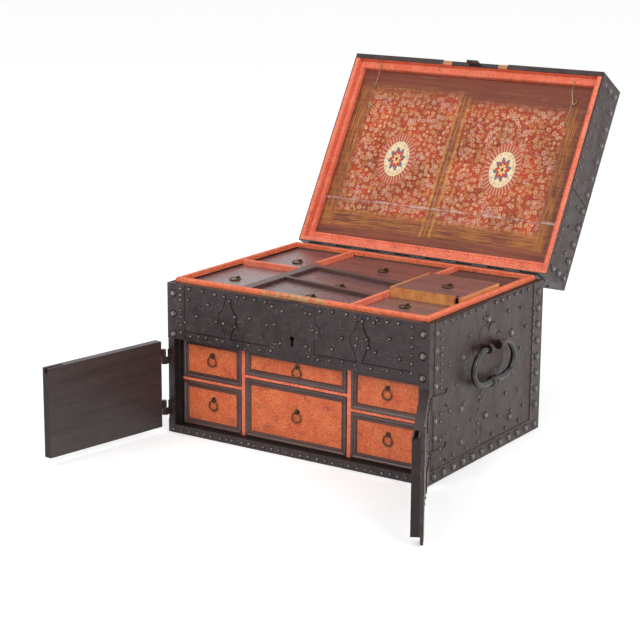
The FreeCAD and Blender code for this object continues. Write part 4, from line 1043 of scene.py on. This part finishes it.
# %% [markdown]
# Two oval medallions sit in the fields. Each is a flat oval with a rosette on a cream ground and
# a ring of rays round it, all worked out from the angle and the distance to its middle.

# %% Medallions
def medallion_material():
    material, tree, shader = plain_material("medallion")
    uv = node(tree, "UVMap", uv_map="UVMap").outputs[0]
    parts = node(tree, "SeparateXYZ", {"Vector": uv})
    reach = node(tree, "VectorMath", operation="LENGTH")
    tree.links.new(uv, reach.inputs[0])
    r = reach.outputs["Value"]
    angle = maths(tree, "ARCTAN2", parts.outputs[1], parts.outputs[0])

    def petal(count, size, swing, phase=0.0):
        turned_angle = maths(tree, "MULTIPLY_ADD", angle, float(count))
        turned_angle.node.inputs[2].default_value = phase
        wave = maths(tree, "COSINE", turned_angle)
        edge = maths(tree, "MULTIPLY_ADD", wave, swing)
        edge.node.inputs[2].default_value = size
        return maths(tree, "MULTIPLY", maths(tree, "SUBTRACT", edge, r), 40.0, True)

    stain = noise(tree, uv, 5.0, 5.0, 0.65)
    cream = mix(tree, ramp(tree, stain, (0.35, 0.0), (0.65, 1.0)), colour(244, 224, 186), colour(206, 176, 138))
    art = mix(tree, petal(8, 0.40, 0.09, 1.6), cream, colour(92, 112, 128))
    art = mix(tree, petal(8, 0.33, 0.08), art, colour(190, 62, 48))
    art = mix(tree, petal(8, 0.19, 0.05, 1.6), art, colour(226, 196, 130))
    art = mix(tree, petal(6, 0.09, 0.02), art, colour(120, 44, 40))
    dots = maths(tree, "MULTIPLY", maths(tree, "SUBTRACT", maths(tree, "COSINE", maths(
        tree, "MULTIPLY", angle, 22.0)), 0.35), 3.0, True)
    near = maths(tree, "SUBTRACT", 1.0, maths(tree, "MULTIPLY", maths(
        tree, "ABSOLUTE", maths(tree, "SUBTRACT", r, 0.585)), 34.0), True)
    art = mix(tree, maths(tree, "MULTIPLY", dots, near), art, colour(150, 100, 70))
    rays = maths(tree, "MULTIPLY_ADD", maths(tree, "SINE", maths(tree, "MULTIPLY", angle, 34.0)), 1.2, True)
    rays.node.inputs[2].default_value = 0.4
    halo = mix(tree, rays, colour(146, 58, 44), colour(214, 150, 120))
    halo = mix(tree, ramp(tree, r, (0.72, 0.0), (0.98, 0.75)), halo, colour(186, 98, 74))
    outside = maths(tree, "MULTIPLY", maths(tree, "SUBTRACT", r, 0.69), 50.0, True)
    edge = maths(tree, "SUBTRACT", 1.0, maths(tree, "MULTIPLY", maths(
        tree, "ABSOLUTE", maths(tree, "SUBTRACT", r, 0.69)), 45.0), True)
    base = mix(tree, outside, art, halo)
    base = mix(tree, edge, base, colour(140, 96, 60))
    tree.links.new(base, shader.inputs["Base Color"])
    shader.inputs["Roughness"].default_value = 0.45
    shader.inputs["Specular IOR Level"].default_value = 0.25
    tree.links.new(bump(tree, stain, 0.0004, 0.4), shader.inputs["Normal"])
    return material


medallion = medallion_material()
mesh = bmesh.new()
layer = mesh.loops.layers.uv.new("UVMap")
for x, y in ((-112, 4.5), (102, 3.5)):
    start = len(mesh.faces)
    verts = bmesh.ops.create_circle(mesh, cap_ends=True, segments=48, radius=1.0)["verts"]
    mesh.faces.ensure_lookup_table()
    for face in mesh.faces[start:]:
        for loop in face.loops:
            loop[layer].uv = loop.vert.co.xy
    size = Matrix.Diagonal((36 * MM, 50 * MM, 1, 1))
    centre = Matrix.Translation(Vector((x, y, panel_z - 0.45)) * MM)
    bmesh.ops.transform(mesh, matrix=lid_turn @ centre @ size, verts=verts)
piece("medallions", mesh, [medallion], "document_flap", finish="painted_panel", smooth=0)

# %% [markdown]
# ## Doors
#
# The doors' outer plates are nailed too. Their nails are set out on the closed door and turned to
# where it stands open.

# %% Door nails
free_end = {}
for side, name in ((1, "door_right"), (-1, "door_left")):
    pivot = Vector(joints[name + "_hinge"]["pos_m"])
    angle = -side * math.radians(joints[name + "_hinge"]["range_deg"][0])
    swing = Matrix.Translation(pivot) @ Matrix.Rotation(angle, 4, "Z") @ Matrix.Translation(-pivot)
    start = 40 if side > 0 else 14
    spots = [(x, z) for x in range(start, 231, 27) for z in (22, 155)]
    spots += [(x, z) for x in (start, 226) for z in (62, 88, 108)]
    spots += [(96, 62), (140, 74), (188, 66), (82, 108), (128, 118), (176, 104), (60, 86), (118, 92)]
    mesh = bmesh.new()
    small_nails(mesh, [(side * a, b) for a, b in spots],
                lambda a, b: swing @ Vector((a, -190.5 * MM, b)), swing.to_3x3() @ Vector((0, -1, 0)))
    piece(name + "_nails", mesh, [iron_rubbed, dirt_and_shade, crown_wear_and_highlight], name, finish="iron_fitting", smooth=50)
    free_end[name + "_board"] = swing.to_3x3() @ Vector((-side, 0, 0))

# %% [markdown]
# ## Finishes by face
#
# Some of the frame's pieces carry two finishes. The eyes on the compartment lids are brass, the
# doors' free ends are near-black, and the lid's front board is bare wood where the plate
# stops beside the strike.


# %% Second finishes
def second_finish(name, material, chosen):
    """Give the faces that a test picks a second material."""
    data = nodes[name].data
    data.materials.append(material)
    for face in data.polygons:
        if chosen(face, data):
            face.material_index = 1


for name in nodes:
    if name.startswith("ring_") and "lid_" + name[5:] in nodes:
        pivot = Vector(joints[name + "_swing"]["pos_m"])
        second_finish("lid_" + name[5:], brass, lambda face, data: all(
            (data.vertices[i].co - pivot).length < 8 * MM for i in face.vertices))
for name, way in free_end.items():
    second_finish(name, jamb_wood, lambda face, data: face.normal.dot(way) > 0.9)
till_low, till_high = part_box("till_right")


def till_rim(face, data):
    """The till's top edges are stained like its lid, all but the left wall's."""
    return face.normal.z > 0.9 and face.center.z > till_high.z - MM and face.center.x > till_low.x + 6 * MM


second_finish("till_right", varnished, till_rim)
closed_again = lid_turn.inverted()


def bare_front(face, data):
    """The bare part of the lid's front board, round the strike."""
    middle = closed_again @ face.center
    depth = middle.y + half_d
    return depth < 3 * MM or (depth < 9 * MM and abs(middle.x) < 66 * MM)


second_finish("lid_boards", bare_wood, bare_front)


# %% [markdown]
# ## Seams of dirt and painted shade
#
# Where one plate lies on another, dirt and rust draw a dark line round the upper one, and the same
# line is painted shade under the upper plate's edge. Each line is a copy of the upper plate, spread
# by a millimetre and sunk a little, so only its edge shows.


# %% Seam lines
door_low, door_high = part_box("drawer_frame")


def has_room(point, floor, ceiling):
    """Whether a line may lie at a point: inside the box's outline, and clear of the doorway."""
    inside = (floor < point.z < ceiling and abs(point.x) < half_w + 0.6 * MM
              and abs(point.y) < half_d + 1.1 * MM)
    doorway = (point.y < -half_d + 3 * MM and abs(point.x) < door_high.x
               and door_low.z < point.z < door_high.z)
    return inside and not doorway


def seam_shade_and_dirt(name, sources, body, spread=1.4 * MM, sink=0.3 * MM):
    """Spread and sunken copies of the thin plates among the solids of some objects, which draw dark lines of dirt
    and painted shade round them.
    """
    mesh = bmesh.new()
    for source in sources:
        mesh.from_mesh(source.data)
    bmesh.ops.remove_doubles(mesh, verts=mesh.verts, dist=0.00002)
    to_closed = closed_again if body == "lid" else Matrix.Identity(4)
    floor, ceiling = (body_top, lid_high * MM) if body == "lid" else (0.0, body_top)
    left = set(mesh.faces)
    unwanted = []
    moves = []
    while left:
        stack = [left.pop()]
        members = []
        while stack:
            face = stack.pop()
            members.append(face)
            for edge in face.edges:
                for other in edge.link_faces:
                    if other in left:
                        left.remove(other)
                        stack.append(other)
        verts = {v for f in members for v in f.verts}
        closed = [to_closed @ v.co for v in verts]
        spans = [max(p[i] for p in closed) - min(p[i] for p in closed) for i in range(3)]
        thin = min(range(3), key=lambda i: spans[i])
        if spans[thin] > 1.1 * MM or max(spans) < 12 * MM:
            unwanted += members
            continue
        middle = sum(p[thin] for p in closed) / len(closed)
        out = Vector((0, 0, 0))
        out[thin] = 1 if middle > (0.3 if thin == 2 else 0.0) else -1
        out = to_closed.to_3x3().inverted() @ out
        for vert in verts:
            way = Vector()
            for face in vert.link_faces:
                if abs(face.normal.dot(out)) < 0.3:
                    way += face.normal
            way = way.normalized() if way.length else way
            reach = spread if has_room(to_closed @ (vert.co + way * spread), floor, ceiling) else -0.1 * MM
            moves.append((vert, way * reach - out * sink))
    for vert, step in moves:
        vert.co += step
    bmesh.ops.delete(mesh, geom=unwanted, context="FACES")
    return piece(name, mesh, [dirt_and_shade], body, finish="iron_plate", smooth=0)


# Dark lines round the plates, the lugs, the door pins and the overlaps: dirt, and painted shade along their edges.
seam_shade_and_dirt("body_seam_shade_and_dirt", [nodes["front_plates"], nodes["shell_plates"],
                          bpy.data.objects["body_overlaps"]], "root")
seam_shade_and_dirt("lug_seam_shade_and_dirt", [nodes["handle_lugs"], nodes["door_pins"]], "root", 2.2 * MM, 0.2 * MM)
seam_shade_and_dirt("lid_seam_shade_and_dirt", [bpy.data.objects["lid_overlaps"]], "lid", 1.0 * MM, 0.2 * MM)
